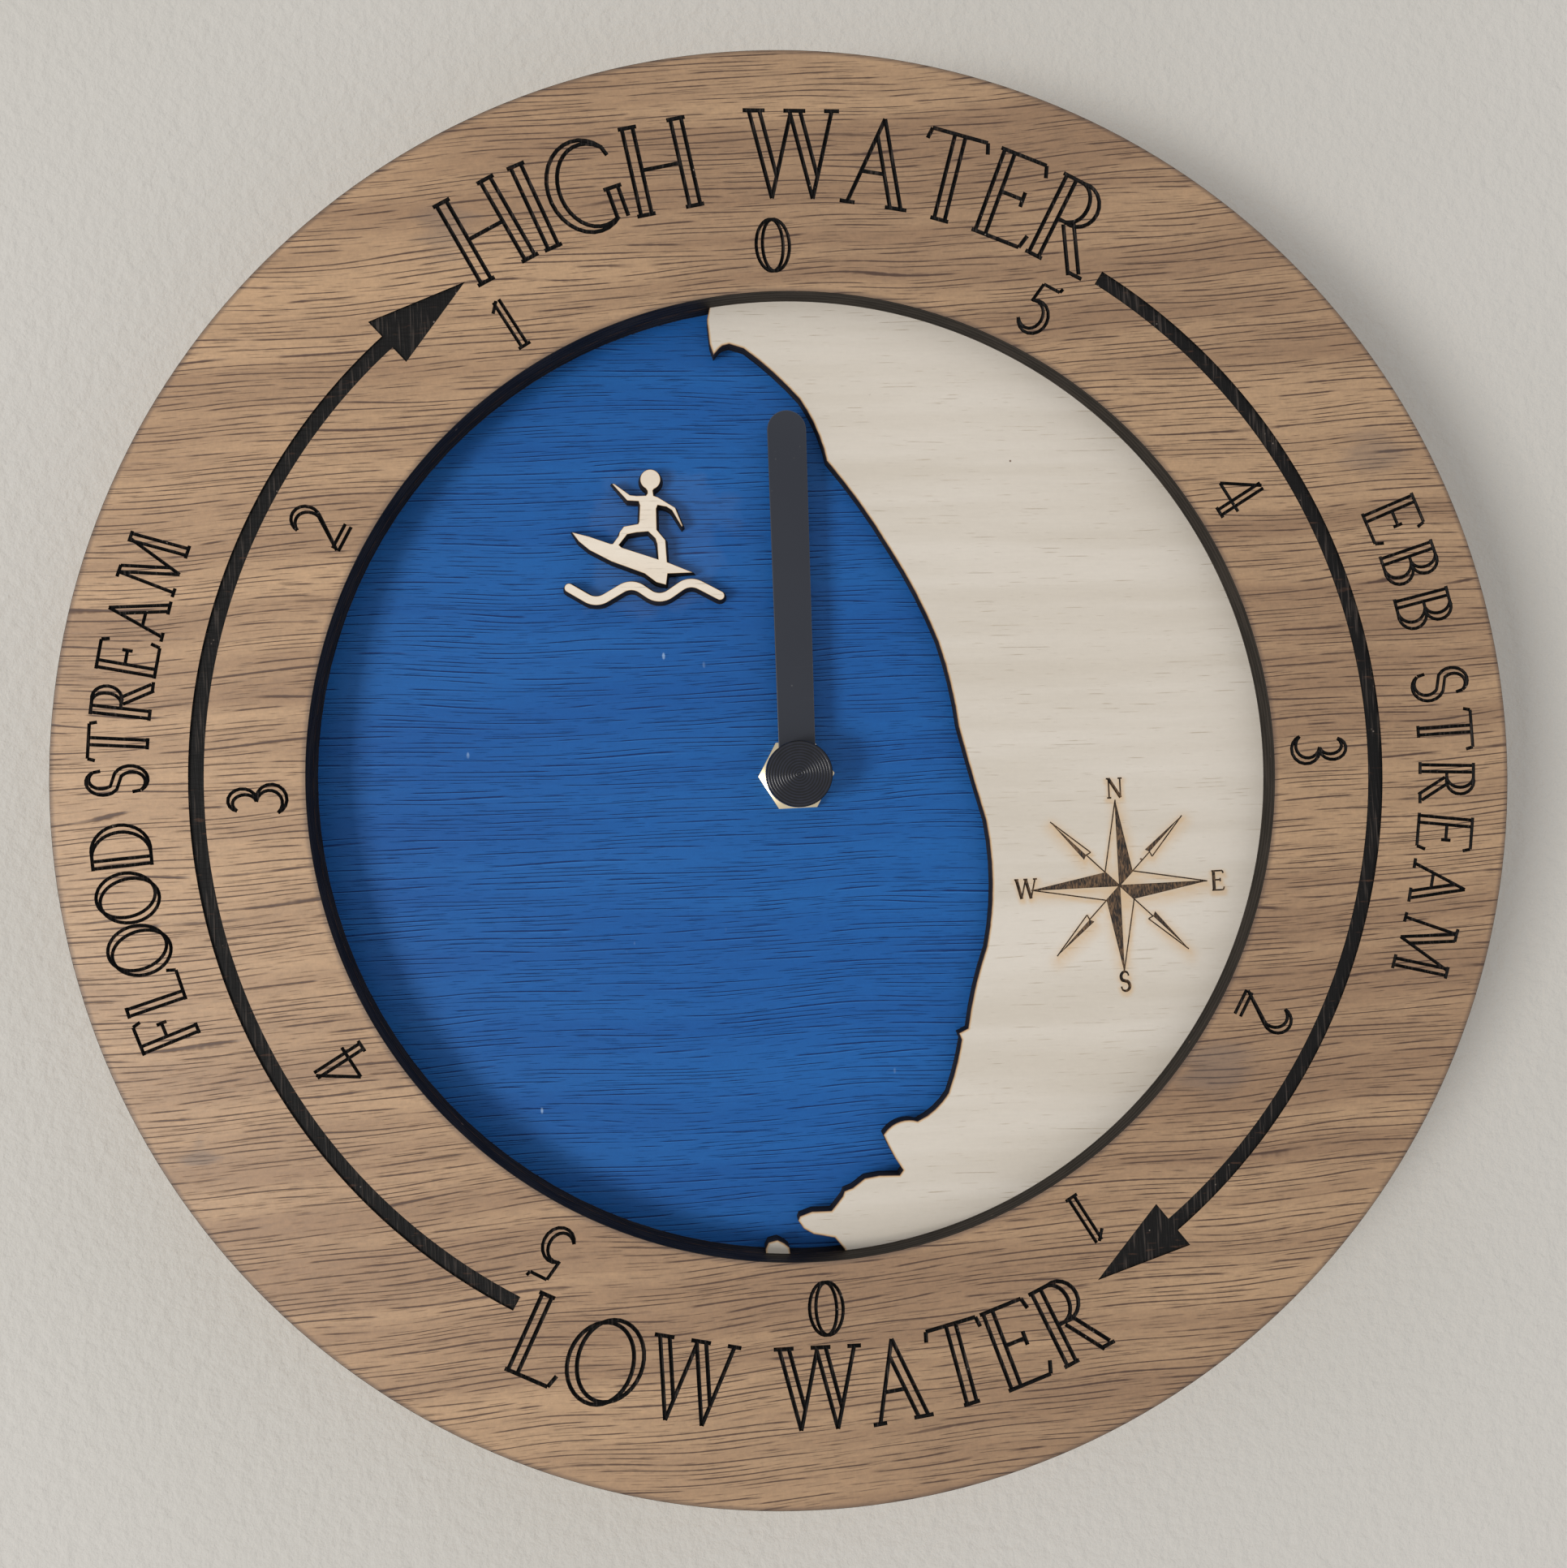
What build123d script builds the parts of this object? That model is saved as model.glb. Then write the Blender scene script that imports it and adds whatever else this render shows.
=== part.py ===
from build123d import *
import math
import os

# A round wall clock with one hand: a wide wooden dial ring over a cut coastline and a blue sea,
# driven by a battery quartz movement behind the sea board.
# Millimetres. +Z is up, the dial faces -Y, and the origin is on the hand's axis at the wall.
# A station is a distance in front of the wall, so a point at station s has y = -s.

# Wooden layers
clock_diameter = 280.0
ring_width = 47.0
sea_thickness = 3.5
coast_thickness = 4.0
ring_thickness = 6.0

# Movement case
case_depth = 16.5
case_corner = 3.0
case_wall = 1.5
cover_thickness = 2.0
hanger_thickness = 0.8
washer_thickness = 1.0
joint_gap = 0.1

# Battery, a cell of the AA size
battery_radius = 7.25
battery_length = 50.5
battery_nub_radius = 2.75
battery_nub_length = 1.0
battery_rear_gap = 0.4
battery_floor_gap = 0.1
battery_side_gap = 0.45
battery_end_gap = 0.15
contact_thickness = 0.4
leaf_room = 1.95
partition_thickness = 1.0

# Fits: radial clearances
running_clearance = 0.05
seat_clearance = 0.02

# Hand and its stack on the axis
hand_end_gap = 22.0
hand_tip_width = 7.6
hand_hub_width = 7.1
hand_thickness = 0.8
hand_over_land = 1.4
hand_rest_angle = 89.0
tube_radius = 2.5
arbor_radius = 1.6
tube_in_cap = 0.6
cap_bore_depth = 0.9
cap_radius = 6.4
cap_height = 4.6
bush_radius = 3.95
bush_past_nut = 0.8
nut_across_flats = 13.0
nut_thickness = 2.5

# Gears: modules, teeth and face widths
pressure_angle = 20.0
addendum_share = 0.8
dedendum_share = 1.25
thinning_share = 0.12
work_module = 0.48
minute_teeth = 10
motion_teeth = 30
motion_pinion_teeth = 8
tide_teeth = 32
setting_teeth = 10
train_module = 0.34
centre_teeth = 48
third_teeth = 45
train_leaves = 6
train_wheel_thickness = 0.9
motion_wheel_thickness = 1.0
tide_wheel_thickness = 1.2
layer_gap = 0.4
leaf_overrun = 0.2
pivot_radius = 0.4
pivot_depth = 0.8
small_sides = 12
motion_angle = 60.0
setting_angle = 60.0
third_angle = 0.0
rotor_angle = 52.0

# Stations, worked out from the wall forwards
case_front_station = case_depth
hanger_station = case_front_station
washer_station = hanger_station + hanger_thickness
sea_station = washer_station + washer_thickness
coast_station = sea_station + sea_thickness
ring_station = coast_station + coast_thickness
case_floor = case_depth - case_wall
hand_station = ring_station + hand_over_land
hand_front = hand_station + hand_thickness
nut_front = coast_station + nut_thickness
bush_front = nut_front + bush_past_nut

clock_radius = clock_diameter / 2
opening_radius = clock_radius - ring_width
hand_length = opening_radius - hand_end_gap
case_side = battery_length + contact_thickness + battery_end_gap + leaf_room + 2 * case_wall
case_half = case_side / 2
inner_half = case_half - case_wall
trough_low = -inner_half
trough_high = trough_low + 2 * (battery_radius + battery_side_gap)
train_low = trough_high + partition_thickness

os.makedirs("parts", exist_ok=True)


def front_plane(station):
    """The upright plane at this station. Its normal points at the viewer."""
    return Plane.XZ.offset(station)


def finish(piece, name):
    piece.part.label = name
    export_step(piece.part, "parts/" + name + ".step")


def polar(distance, angle, start=(0, 0)):
    """The point at this distance and angle from start, seen from the front."""
    turn = math.radians(angle)
    return (start[0] + distance * math.cos(turn), start[1] + distance * math.sin(turn))


# Wooden layers

with BuildPart() as face_ring:
    with BuildSketch(front_plane(ring_station)):
        Circle(clock_radius)
        Circle(opening_radius, mode=Mode.SUBTRACT)
    extrude(amount=ring_thickness)
finish(face_ring, "face_ring")

# Coastline, in shares of the opening's radius: the north shore, the long outer coast, the two
# southern capes, and the small island at the bottom. Ends past 1 lie under the ring.
north_shares = [(-0.125, 1.03), (-0.142, 0.967), (-0.142, 0.957), (-0.139, 0.914), (-0.132, 0.891)]
north_shares += [(-0.119, 0.905), (-0.112, 0.910), (-0.098, 0.913), (-0.068, 0.903)]
outer_shares = [(-0.068, 0.903), (-0.028, 0.869), (0.045, 0.792), (0.078, 0.726), (0.096, 0.659)]
outer_shares += [(0.152, 0.581), (0.219, 0.470), (0.274, 0.364), (0.313, 0.267), (0.334, 0.180)]
outer_shares += [(0.347, 0.085), (0.369, -0.011), (0.395, -0.116), (0.402, -0.245), (0.383, -0.382)]
outer_shares += [(0.343, -0.508), (0.334, -0.552)]
notch_shares = [(0.334, -0.552), (0.314, -0.561), (0.319, -0.575)]
cape_shares = [(0.319, -0.575), (0.306, -0.626), (0.285, -0.685), (0.254, -0.718), (0.217, -0.740)]
cape_shares += [(0.156, -0.750), (0.143, -0.764), (0.158, -0.800), (0.181, -0.840)]
bay_shares = [(0.181, -0.840), (0.173, -0.850), (0.130, -0.848), (0.099, -0.852)]
south_shares = [(0.099, -0.852), (0.073, -0.870), (0.055, -0.876), (0.051, -0.886), (0.033, -0.907)]
south_shares += [(0.026, -0.915), (-0.015, -0.914), (-0.041, -0.922), (-0.045, -0.931)]
south_shares += [(-0.034, -0.948), (-0.014, -0.961), (0.013, -0.967), (0.030, -0.971), (0.049, -0.996)]
south_shares += [(0.060, -1.03)]
island_shares = [(-0.115, -1.03), (-0.116, -0.985), (-0.109, -0.972), (-0.090, -0.968)]
island_shares += [(-0.076, -0.976), (-0.066, -0.985), (-0.060, -1.03)]
inland_share = 1.03


def shore(shares):
    return [(x * opening_radius, z * opening_radius) for x, z in shares]


def curved_shore(shares):
    """A run of arcs, each through three neighbouring points."""
    points = shore(shares)
    for first in range(0, len(points) - 2, 2):
        ThreePointArc(*points[first : first + 3])


with BuildPart() as coast_layer:
    with BuildSketch(front_plane(coast_station)):
        Circle(clock_radius)
        Circle(opening_radius, mode=Mode.SUBTRACT)
        with BuildLine():
            Polyline(*shore(north_shares))
            curved_shore(outer_shares)
            Polyline(*shore(notch_shares))
            curved_shore(cape_shares)
            Polyline(*shore(bay_shares))
            Polyline(*shore(south_shares))
            shore_end = shore(south_shares)[-1]
            shore_start = shore(north_shares)[0]
            ThreePointArc(shore_end, (inland_share * opening_radius, 0), shore_start)
        make_face()
        with BuildLine():
            Polyline(*shore(island_shares), close=True)
        make_face()
    extrude(amount=coast_thickness)
finish(coast_layer, "coast_layer")

with BuildPart() as sea_disc:
    with BuildSketch(front_plane(sea_station)):
        Circle(clock_radius)
        Circle(bush_radius + running_clearance, mode=Mode.SUBTRACT)
    extrude(amount=sea_thickness)
finish(sea_disc, "sea_disc")

# Surfer, drawn around the head's centre in head radii, and the wave below. The head's place is
# in shares of the opening's radius.
surfer_thickness = 3.0
head_radius = 2.0
head_share = (-0.2774, 0.6355)
head_place = (head_share[0] * opening_radius, head_share[1] * opening_radius)
body_shares = [(-3.8, -0.25), (-3.5, -0.3), (-2.05, -1.45), (-1.4, -1.55), (-0.5, -1.55)]
body_shares += [(-0.35, -1.35), (-0.35, -1.1), (-0.6, -0.7), (0.5, -0.7), (0.2, -1.1)]
body_shares += [(0.25, -1.6), (0.65, -1.75), (2.3, -2.85), (2.95, -4.65), (2.85, -4.8)]
body_shares += [(1.95, -3.1), (1.45, -2.75), (0.6, -2.55), (0.45, -2.9), (0.4, -4.95)]
body_shares += [(1.2, -6.0), (1.25, -8.15), (3.8, -9.3), (1.25, -9.3), (1.05, -10.4)]
body_shares += [(0.1, -10.1), (-1.0, -9.2), (-4.15, -7.9), (-6.25, -6.7), (-7.25, -5.8)]
body_shares += [(-7.9, -4.85), (-6.2, -5.35), (-4.15, -6.15), (-3.95, -6.15), (-3.35, -5.4)]
body_shares += [(-3.25, -5.05), (-2.8, -4.5), (-1.4, -4.3), (-1.3, -4.1), (-1.15, -2.5)]
body_shares += [(-1.25, -2.1), (-2.35, -2.0)]
leg_gap_shares = [(-3.35, -6.3), (-2.5, -5.3), (-1.6, -5.15), (-0.45, -5.1), (0.2, -5.8)]
leg_gap_shares += [(0.35, -6.35), (0.4, -7.85), (-3.1, -6.55)]
wave_length = 29.3
wave_width = 1.8
wave_bend_radius = 3.6
wave_start_shares = (-8.4, -10.3)
wave_shares = [(0.0, 0.0), (0.175, -0.112), (0.418, 0.02), (0.595, -0.113), (0.805, 0.02), (1.0, -0.092)]


def around_head(shares):
    return [(head_place[0] + x * head_radius, head_place[1] + z * head_radius) for x, z in shares]


with BuildPart() as surfer:
    with BuildSketch(front_plane(coast_station)):
        with BuildLine():
            Polyline(*around_head(body_shares), close=True)
        make_face()
        with Locations(head_place):
            Circle(head_radius)
        with BuildLine():
            Polyline(*around_head(leg_gap_shares), close=True)
        make_face(mode=Mode.SUBTRACT)
    extrude(amount=surfer_thickness)
finish(surfer, "surfer")

wave_left, wave_level = around_head([wave_start_shares])[0]
wave_points = [(wave_left + x * wave_length, wave_level + z * wave_length) for x, z in wave_shares]
with BuildPart() as wave_strip:
    with BuildSketch(front_plane(coast_station)):
        with BuildLine() as wave_line:
            FilletPolyline(*wave_points, radius=wave_bend_radius)
        trace(wave_line.line, line_width=wave_width)
        with Locations(wave_points[0], wave_points[-1]):
            Circle(wave_width / 2)
    extrude(amount=surfer_thickness)
finish(wave_strip, "wave_strip")

# Hand, cap, nut, bush, washer and hanger, all on the axis

with BuildPart() as hand:
    with BuildSketch(front_plane(hand_station)):
        tip_radius = hand_tip_width / 2
        tip_centre = polar(hand_length - tip_radius, hand_rest_angle)
        with Locations(tip_centre):
            Circle(tip_radius)
        Circle(hand_hub_width / 2)
        make_hull()
        Circle(tube_radius + seat_clearance, mode=Mode.SUBTRACT)
    extrude(amount=hand_thickness)
finish(hand, "hand")

with BuildPart() as hub_cap:
    with BuildSketch(front_plane(hand_front)):
        Circle(cap_radius)
    extrude(amount=cap_height)
    with BuildSketch(front_plane(hand_front)):
        Circle(tube_radius + seat_clearance)
    extrude(amount=cap_bore_depth, mode=Mode.SUBTRACT)
finish(hub_cap, "hub_cap")

with BuildPart() as fixing_nut:
    with BuildSketch(front_plane(coast_station)):
        RegularPolygon(nut_across_flats / 2, 6, major_radius=False)
        Circle(bush_radius + running_clearance, mode=Mode.SUBTRACT)
    extrude(amount=nut_thickness)
finish(fixing_nut, "fixing_nut")

with BuildPart() as threaded_bush:
    with BuildSketch(front_plane(case_floor)):
        Circle(bush_radius)
        Circle(tube_radius + running_clearance, mode=Mode.SUBTRACT)
    extrude(amount=bush_front - case_floor)
finish(threaded_bush, "threaded_bush")

washer_radius = 11.0
with BuildPart() as rubber_washer:
    with BuildSketch(front_plane(washer_station)):
        Circle(washer_radius)
        Circle(bush_radius + running_clearance, mode=Mode.SUBTRACT)
    extrude(amount=washer_thickness)
finish(rubber_washer, "rubber_washer")

hanger_hub_radius = 13.0
hanger_tab_width = 20.0
hanger_tab_height = 9.0
nail_hole_radius = 2.5
nail_over_case = 5.0
nail_height = case_half + nail_over_case
with BuildPart() as hanger_plate:
    with BuildSketch(front_plane(hanger_station)):
        Circle(hanger_hub_radius)
        with Locations((0, nail_height)):
            Rectangle(hanger_tab_width, hanger_tab_height)
        make_hull()
        Circle(bush_radius + running_clearance, mode=Mode.SUBTRACT)
        with Locations((0, nail_height)):
            Circle(nail_hole_radius, mode=Mode.SUBTRACT)
    extrude(amount=hanger_thickness)
finish(hanger_plate, "hanger_plate")

# Gear train: centres in the plane of the dial, then stations from the case floor backwards

work_distance = work_module * (minute_teeth + motion_teeth) / 2
tide_module = 2 * work_distance / (motion_pinion_teeth + tide_teeth)
third_distance = train_module * (centre_teeth + train_leaves) / 2
rotor_distance = train_module * (third_teeth + train_leaves) / 2

motion_place = polar(work_distance, motion_angle)
setting_place = polar(work_distance, setting_angle, motion_place)
third_place = polar(third_distance, third_angle)
rotor_place = polar(rotor_distance, rotor_angle, third_place)

tide_front = case_floor - layer_gap
tide_rear = tide_front - tide_wheel_thickness
motion_front = tide_rear - layer_gap
motion_rear = motion_front - motion_wheel_thickness
minute_front = motion_front + leaf_overrun
minute_rear = motion_rear - leaf_overrun
centre_front = minute_rear - layer_gap
centre_rear = centre_front - train_wheel_thickness
plate_thickness = 1.2
plate_front = centre_rear - layer_gap
plate_rear = plate_front - plate_thickness
third_front = plate_rear - layer_gap
third_rear = third_front - train_wheel_thickness


def involute(angle):
    return math.tan(angle) - angle


def gear_points(teeth, module, phase, place=(0, 0)):
    """Outline of a spur gear whose first tooth points at phase, its flanks chords of the involute."""
    pitch_radius = module * teeth / 2
    base_radius = pitch_radius * math.cos(math.radians(pressure_angle))
    radii = [pitch_radius - dedendum_share * module, pitch_radius + addendum_share * module]
    half_tooth = math.pi / teeth / 2 * (1 - 2 * thinning_share)
    spreads = []
    for radius in radii:
        roll = math.acos(base_radius / max(radius, base_radius))
        spread = half_tooth + involute(math.radians(pressure_angle)) - involute(roll)
        spreads.append(math.degrees(spread))
    points = []
    for tooth in range(teeth):
        middle = phase + tooth * 360 / teeth
        for radius, spread in zip(radii, spreads):
            points.append(polar(radius, middle - spread, place))
        for radius, spread in zip(reversed(radii), reversed(spreads)):
            points.append(polar(radius, middle + spread, place))
    return points


def meshed_phase(teeth, phase, line_angle, other_teeth):
    """Phase of a second gear, seen from the first at line_angle, so that their teeth interleave."""
    passed = (line_angle - phase) * teeth / 360
    return line_angle + 180 - (0.5 - passed) * 360 / other_teeth


def gear_sketch(teeth, module, phase, place=(0, 0)):
    with BuildLine() as outline:
        Polyline(*gear_points(teeth, module, phase, place), close=True)
    make_face(outline.line)


def round_bar(radius, rear, length, place=(0, 0)):
    """Adds a round bar to the open part, from this station forwards."""
    with BuildSketch(front_plane(rear)) as section:
        with Locations(place):
            Circle(radius)
    extrude(section.sketch, amount=length)


def small_bar(radius, rear, length, place=(0, 0)):
    """As round_bar, for posts, pads and pivots that repeat: few sides keep their facets few."""
    with BuildSketch(front_plane(rear)) as section:
        with Locations(place):
            RegularPolygon(radius, small_sides)
    extrude(section.sketch, amount=length)


def small_holes(shaft_radius, *places, mode=Mode.ADD):
    """Sections of holes for shafts of this radius, in the open sketch, with few sides for the same reason."""
    with Locations(*places):
        RegularPolygon(shaft_radius + running_clearance, small_sides, major_radius=False, mode=mode)


# Phases, passed on from the minute pinion and from the centre wheel
minute_phase = 0.0
motion_phase = meshed_phase(minute_teeth, minute_phase, motion_angle, motion_teeth)
setting_phase = meshed_phase(motion_teeth, motion_phase, setting_angle, setting_teeth)
motion_pinion_phase = 0.0
tide_phase = meshed_phase(motion_pinion_teeth, motion_pinion_phase, motion_angle + 180, tide_teeth)
centre_phase = 0.0
third_pinion_phase = meshed_phase(centre_teeth, centre_phase, third_angle, train_leaves)
third_phase = 0.0
rotor_phase = meshed_phase(third_teeth, third_phase, rotor_angle, train_leaves)

with BuildPart() as tide_wheel:
    with BuildSketch(front_plane(tide_rear)):
        gear_sketch(tide_teeth, tide_module, tide_phase)
    extrude(amount=tide_wheel_thickness)
    round_bar(tube_radius, tide_rear, hand_front + tube_in_cap - tide_rear)
    with BuildSketch(front_plane(tide_rear)):
        small_holes(arbor_radius, (0, 0))
    extrude(amount=hand_front + tube_in_cap - tide_rear, mode=Mode.SUBTRACT)
finish(tide_wheel, "tide_wheel")

with BuildPart() as motion_wheel:
    with BuildSketch(front_plane(motion_rear)):
        gear_sketch(motion_teeth, work_module, motion_phase, motion_place)
    extrude(amount=motion_wheel_thickness)
    with BuildSketch(front_plane(motion_front)):
        gear_sketch(motion_pinion_teeth, tide_module, motion_pinion_phase, motion_place)
    extrude(amount=tide_front - motion_front)
    motion_arbor_rear = plate_front - pivot_depth
    small_bar(pivot_radius, motion_arbor_rear, case_floor + pivot_depth - motion_arbor_rear, motion_place)
finish(motion_wheel, "motion_wheel")

with BuildPart() as minute_arbor:
    with BuildSketch(front_plane(minute_rear)):
        gear_sketch(minute_teeth, work_module, minute_phase)
    extrude(amount=minute_front - minute_rear)
    round_bar(arbor_radius, plate_rear, hand_station - plate_rear)
finish(minute_arbor, "minute_arbor")

with BuildPart() as centre_wheel:
    with BuildSketch(front_plane(centre_rear)):
        gear_sketch(centre_teeth, train_module, centre_phase)
        small_holes(arbor_radius, (0, 0), mode=Mode.SUBTRACT)
    extrude(amount=train_wheel_thickness)
finish(centre_wheel, "centre_wheel")

pivot_station = cover_thickness - pivot_depth
with BuildPart() as third_wheel:
    with BuildSketch(front_plane(third_rear)):
        gear_sketch(third_teeth, train_module, third_phase, third_place)
    extrude(amount=train_wheel_thickness)
    with BuildSketch(front_plane(third_front)):
        gear_sketch(train_leaves, train_module, third_pinion_phase, third_place)
    extrude(amount=centre_front + leaf_overrun - third_front)
    small_bar(pivot_radius, pivot_station, case_floor + pivot_depth - pivot_station, third_place)
finish(third_wheel, "third_wheel")

magnet_radius = 3.0
magnet_thickness = 1.6
stator_thickness = 1.2
rotor_leaf_rear = third_rear - leaf_overrun
magnet_rear = rotor_leaf_rear - magnet_thickness
with BuildPart() as rotor:
    with BuildSketch(front_plane(rotor_leaf_rear)):
        gear_sketch(train_leaves, train_module, rotor_phase, rotor_place)
    extrude(amount=train_wheel_thickness + 2 * leaf_overrun)
    round_bar(magnet_radius, magnet_rear, magnet_thickness, rotor_place)
    small_bar(pivot_radius, pivot_station, plate_rear + pivot_depth - pivot_station, rotor_place)
finish(rotor, "rotor")

# Stepping motor: the stator bends round the magnet and carries the coil on its far side
rotor_hole_radius = 3.5
stator_bar_width = 8.4
stator_core_width = 2.0
stator_arm_width = 2.2
coil_radius = 3.3
coil_wall_gap = 0.9
coil_place = inner_half - coil_wall_gap - coil_radius
coil_low = -5.5
coil_length = 16.0
flange_thickness = 0.8
bobbin_wall = 0.5
core_clearance = 0.1
stator_rear = magnet_rear + (magnet_thickness - stator_thickness) / 2
stator_front = stator_rear + stator_thickness
stator_middle = stator_rear + stator_thickness / 2
stator_left = rotor_place[0] - stator_bar_width / 2
stator_right = coil_place + stator_core_width / 2
stator_low = coil_low - flange_thickness - core_clearance - stator_arm_width
stator_high = coil_low + coil_length + flange_thickness + core_clearance + stator_arm_width

with BuildPart() as stator:
    with BuildSketch(front_plane(stator_rear)):
        with Locations(((stator_left + stator_right) / 2, (stator_low + stator_high) / 2)):
            Rectangle(stator_right - stator_left, stator_high - stator_low)
        window_left = stator_left + stator_bar_width
        window_right = stator_right - stator_core_width
        window_height = stator_high - stator_low - 2 * stator_arm_width
        with Locations(((window_left + window_right) / 2, (stator_low + stator_high) / 2)):
            Rectangle(window_right - window_left, window_height, mode=Mode.SUBTRACT)
        with Locations(rotor_place):
            Circle(rotor_hole_radius, mode=Mode.SUBTRACT)
    extrude(amount=stator_thickness)
finish(stator, "stator")

with BuildPart() as coil_bobbin:
    bobbin_side = stator_core_width + core_clearance + 2 * bobbin_wall
    coil_centre = (coil_place, -stator_middle)
    with BuildSketch(Plane.XY.offset(coil_low - flange_thickness)):
        with Locations(coil_centre):
            Rectangle(2 * coil_radius, 2 * coil_radius)
    extrude(amount=flange_thickness)
    with BuildSketch(Plane.XY.offset(coil_low)):
        with Locations(coil_centre):
            Rectangle(bobbin_side, bobbin_side)
    extrude(amount=coil_length)
    with BuildSketch(Plane.XY.offset(coil_low + coil_length)):
        with Locations(coil_centre):
            Rectangle(2 * coil_radius, 2 * coil_radius)
    extrude(amount=flange_thickness)
    with BuildSketch(Plane.XY.offset(coil_low - flange_thickness)):
        with Locations(coil_centre):
            Rectangle(stator_core_width + core_clearance, stator_thickness + core_clearance)
    extrude(amount=coil_length + 2 * flange_thickness, mode=Mode.SUBTRACT)
finish(coil_bobbin, "coil_bobbin")

winding_radius = coil_radius - core_clearance
with BuildPart() as coil_winding:
    with BuildSketch(Plane.XY.offset(coil_low + core_clearance)):
        with Locations(coil_centre):
            Circle(winding_radius)
            Rectangle(bobbin_side + seat_clearance, bobbin_side + seat_clearance, mode=Mode.SUBTRACT)
    extrude(amount=coil_length - 2 * core_clearance)
finish(coil_winding, "coil_winding")

# Middle plate: carries the front pivots of the train and the stator on two bosses
plate_side_gap = 5.0
plate_coil_gap = 1.2
plate_low_gap = 0.5
plate_high_gap = 2.0
plate_left = plate_side_gap - inner_half
plate_right = coil_place - coil_radius - plate_coil_gap
plate_low = train_low + plate_low_gap
plate_high = inner_half - plate_high_gap
post_radius = 1.6
post_edge = 2.5
post_columns = (plate_left + post_edge, plate_right - post_edge)
post_rows = (plate_low + post_edge, plate_high - post_edge)
boss_radius = 1.6
boss_across = plate_right - boss_radius
boss_places = [(boss_across, stator_low + stator_arm_width / 2)]
boss_places += [(boss_across, stator_high - stator_arm_width / 2)]
leaf_radius = train_module * (train_leaves / 2 + addendum_share) + layer_gap
setting_shaft_radius = 1.5

with BuildPart() as middle_plate:
    with BuildSketch(front_plane(plate_rear)):
        with Locations(((plate_left + plate_right) / 2, (plate_low + plate_high) / 2)):
            Rectangle(plate_right - plate_left, plate_high - plate_low)
        small_holes(arbor_radius, (0, 0), mode=Mode.SUBTRACT)
        small_holes(leaf_radius, third_place, mode=Mode.SUBTRACT)
        small_holes(setting_shaft_radius, setting_place, mode=Mode.SUBTRACT)
        small_holes(pivot_radius, motion_place, rotor_place, mode=Mode.SUBTRACT)
    extrude(amount=plate_thickness)
    for boss_place in boss_places:
        small_bar(boss_radius, stator_front, plate_rear - stator_front, boss_place)
finish(middle_plate, "middle_plate")

# Setting knob in its cup, and the pinion that turns the motion wheel
knob_radius = 5.5
knob_thickness = 2.6
knob_rear_gap = 0.3
knob_ribs = 14
knob_rib_width = 0.9
knob_rib_depth = 0.7
cup_gap = 0.7
cup_wall = 1.0
cup_floor_station = knob_rear_gap + knob_thickness + layer_gap
knob_front = knob_rear_gap + knob_thickness
socket_depth = 1.6
with BuildPart() as setting_knob:
    with BuildSketch(front_plane(knob_rear_gap)):
        with Locations(setting_place):
            Circle(knob_radius)
            with PolarLocations(knob_radius, knob_ribs):
                Rectangle(2 * knob_rib_depth, knob_rib_width, mode=Mode.SUBTRACT)
    extrude(amount=knob_thickness)
    with BuildSketch(front_plane(knob_front)):
        with Locations(setting_place):
            Circle(setting_shaft_radius + seat_clearance)
    extrude(amount=-socket_depth, mode=Mode.SUBTRACT)
finish(setting_knob, "setting_knob")

with BuildPart() as setting_pinion:
    with BuildSketch(front_plane(minute_rear)):
        gear_sketch(setting_teeth, work_module, setting_phase, setting_place)
    extrude(amount=minute_front - minute_rear)
    shaft_rear = knob_front - socket_depth
    round_bar(setting_shaft_radius, shaft_rear, minute_rear - shaft_rear, setting_place)
finish(setting_pinion, "setting_pinion")

# Circuit board with its chip and crystal, on two pads of the rear case
board_thickness = 0.8
pad_height = 2.0
pad_radius = 1.5
board_low = 14.5
board_right = 1.0
pad_places = [(-21.0, 22.0), (-3.0, 22.0)]
board_station = cover_thickness + pad_height
board_left = contact_thickness - inner_half
board_high = inner_half - contact_thickness
board_front = board_station + board_thickness
with BuildPart() as circuit_board:
    with BuildSketch(front_plane(board_station)):
        with Locations(((board_left + board_right) / 2, (board_low + board_high) / 2)):
            Rectangle(board_right - board_left, board_high - board_low)
    extrude(amount=board_thickness)
finish(circuit_board, "circuit_board")

chip_side = 5.0
chip_height = 1.1
chip_place = (-16.5, 20.2)
with BuildPart() as chip:
    with BuildSketch(front_plane(board_front)):
        with Locations(chip_place):
            Rectangle(chip_side, chip_side)
    extrude(amount=chip_height)
finish(chip, "chip")

crystal_radius = 1.0
crystal_length = 6.0
crystal_left = -10.0
crystal_height = 20.2
with BuildPart() as crystal:
    with BuildSketch(Plane.YZ.offset(crystal_left)):
        with Locations((-(board_front + crystal_radius), crystal_height)):
            Circle(crystal_radius)
    extrude(amount=crystal_length)
finish(crystal, "crystal")

# Battery and its two contacts
battery_height = (trough_low + trough_high) / 2
battery_station = battery_rear_gap + battery_radius
battery_tip = contact_thickness + battery_end_gap - inner_half
battery_shoulder = battery_tip + battery_nub_length
battery_end = battery_tip + battery_length
with BuildPart() as battery_cell:
    with BuildSketch(Plane.YZ.offset(battery_shoulder)):
        with Locations((-battery_station, battery_height)):
            Circle(battery_radius)
    extrude(amount=battery_length - battery_nub_length)
    with BuildSketch(Plane.YZ.offset(battery_tip)):
        with Locations((-battery_station, battery_height)):
            Circle(battery_nub_radius)
    extrude(amount=battery_nub_length)
finish(battery_cell, "battery_cell")

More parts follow.
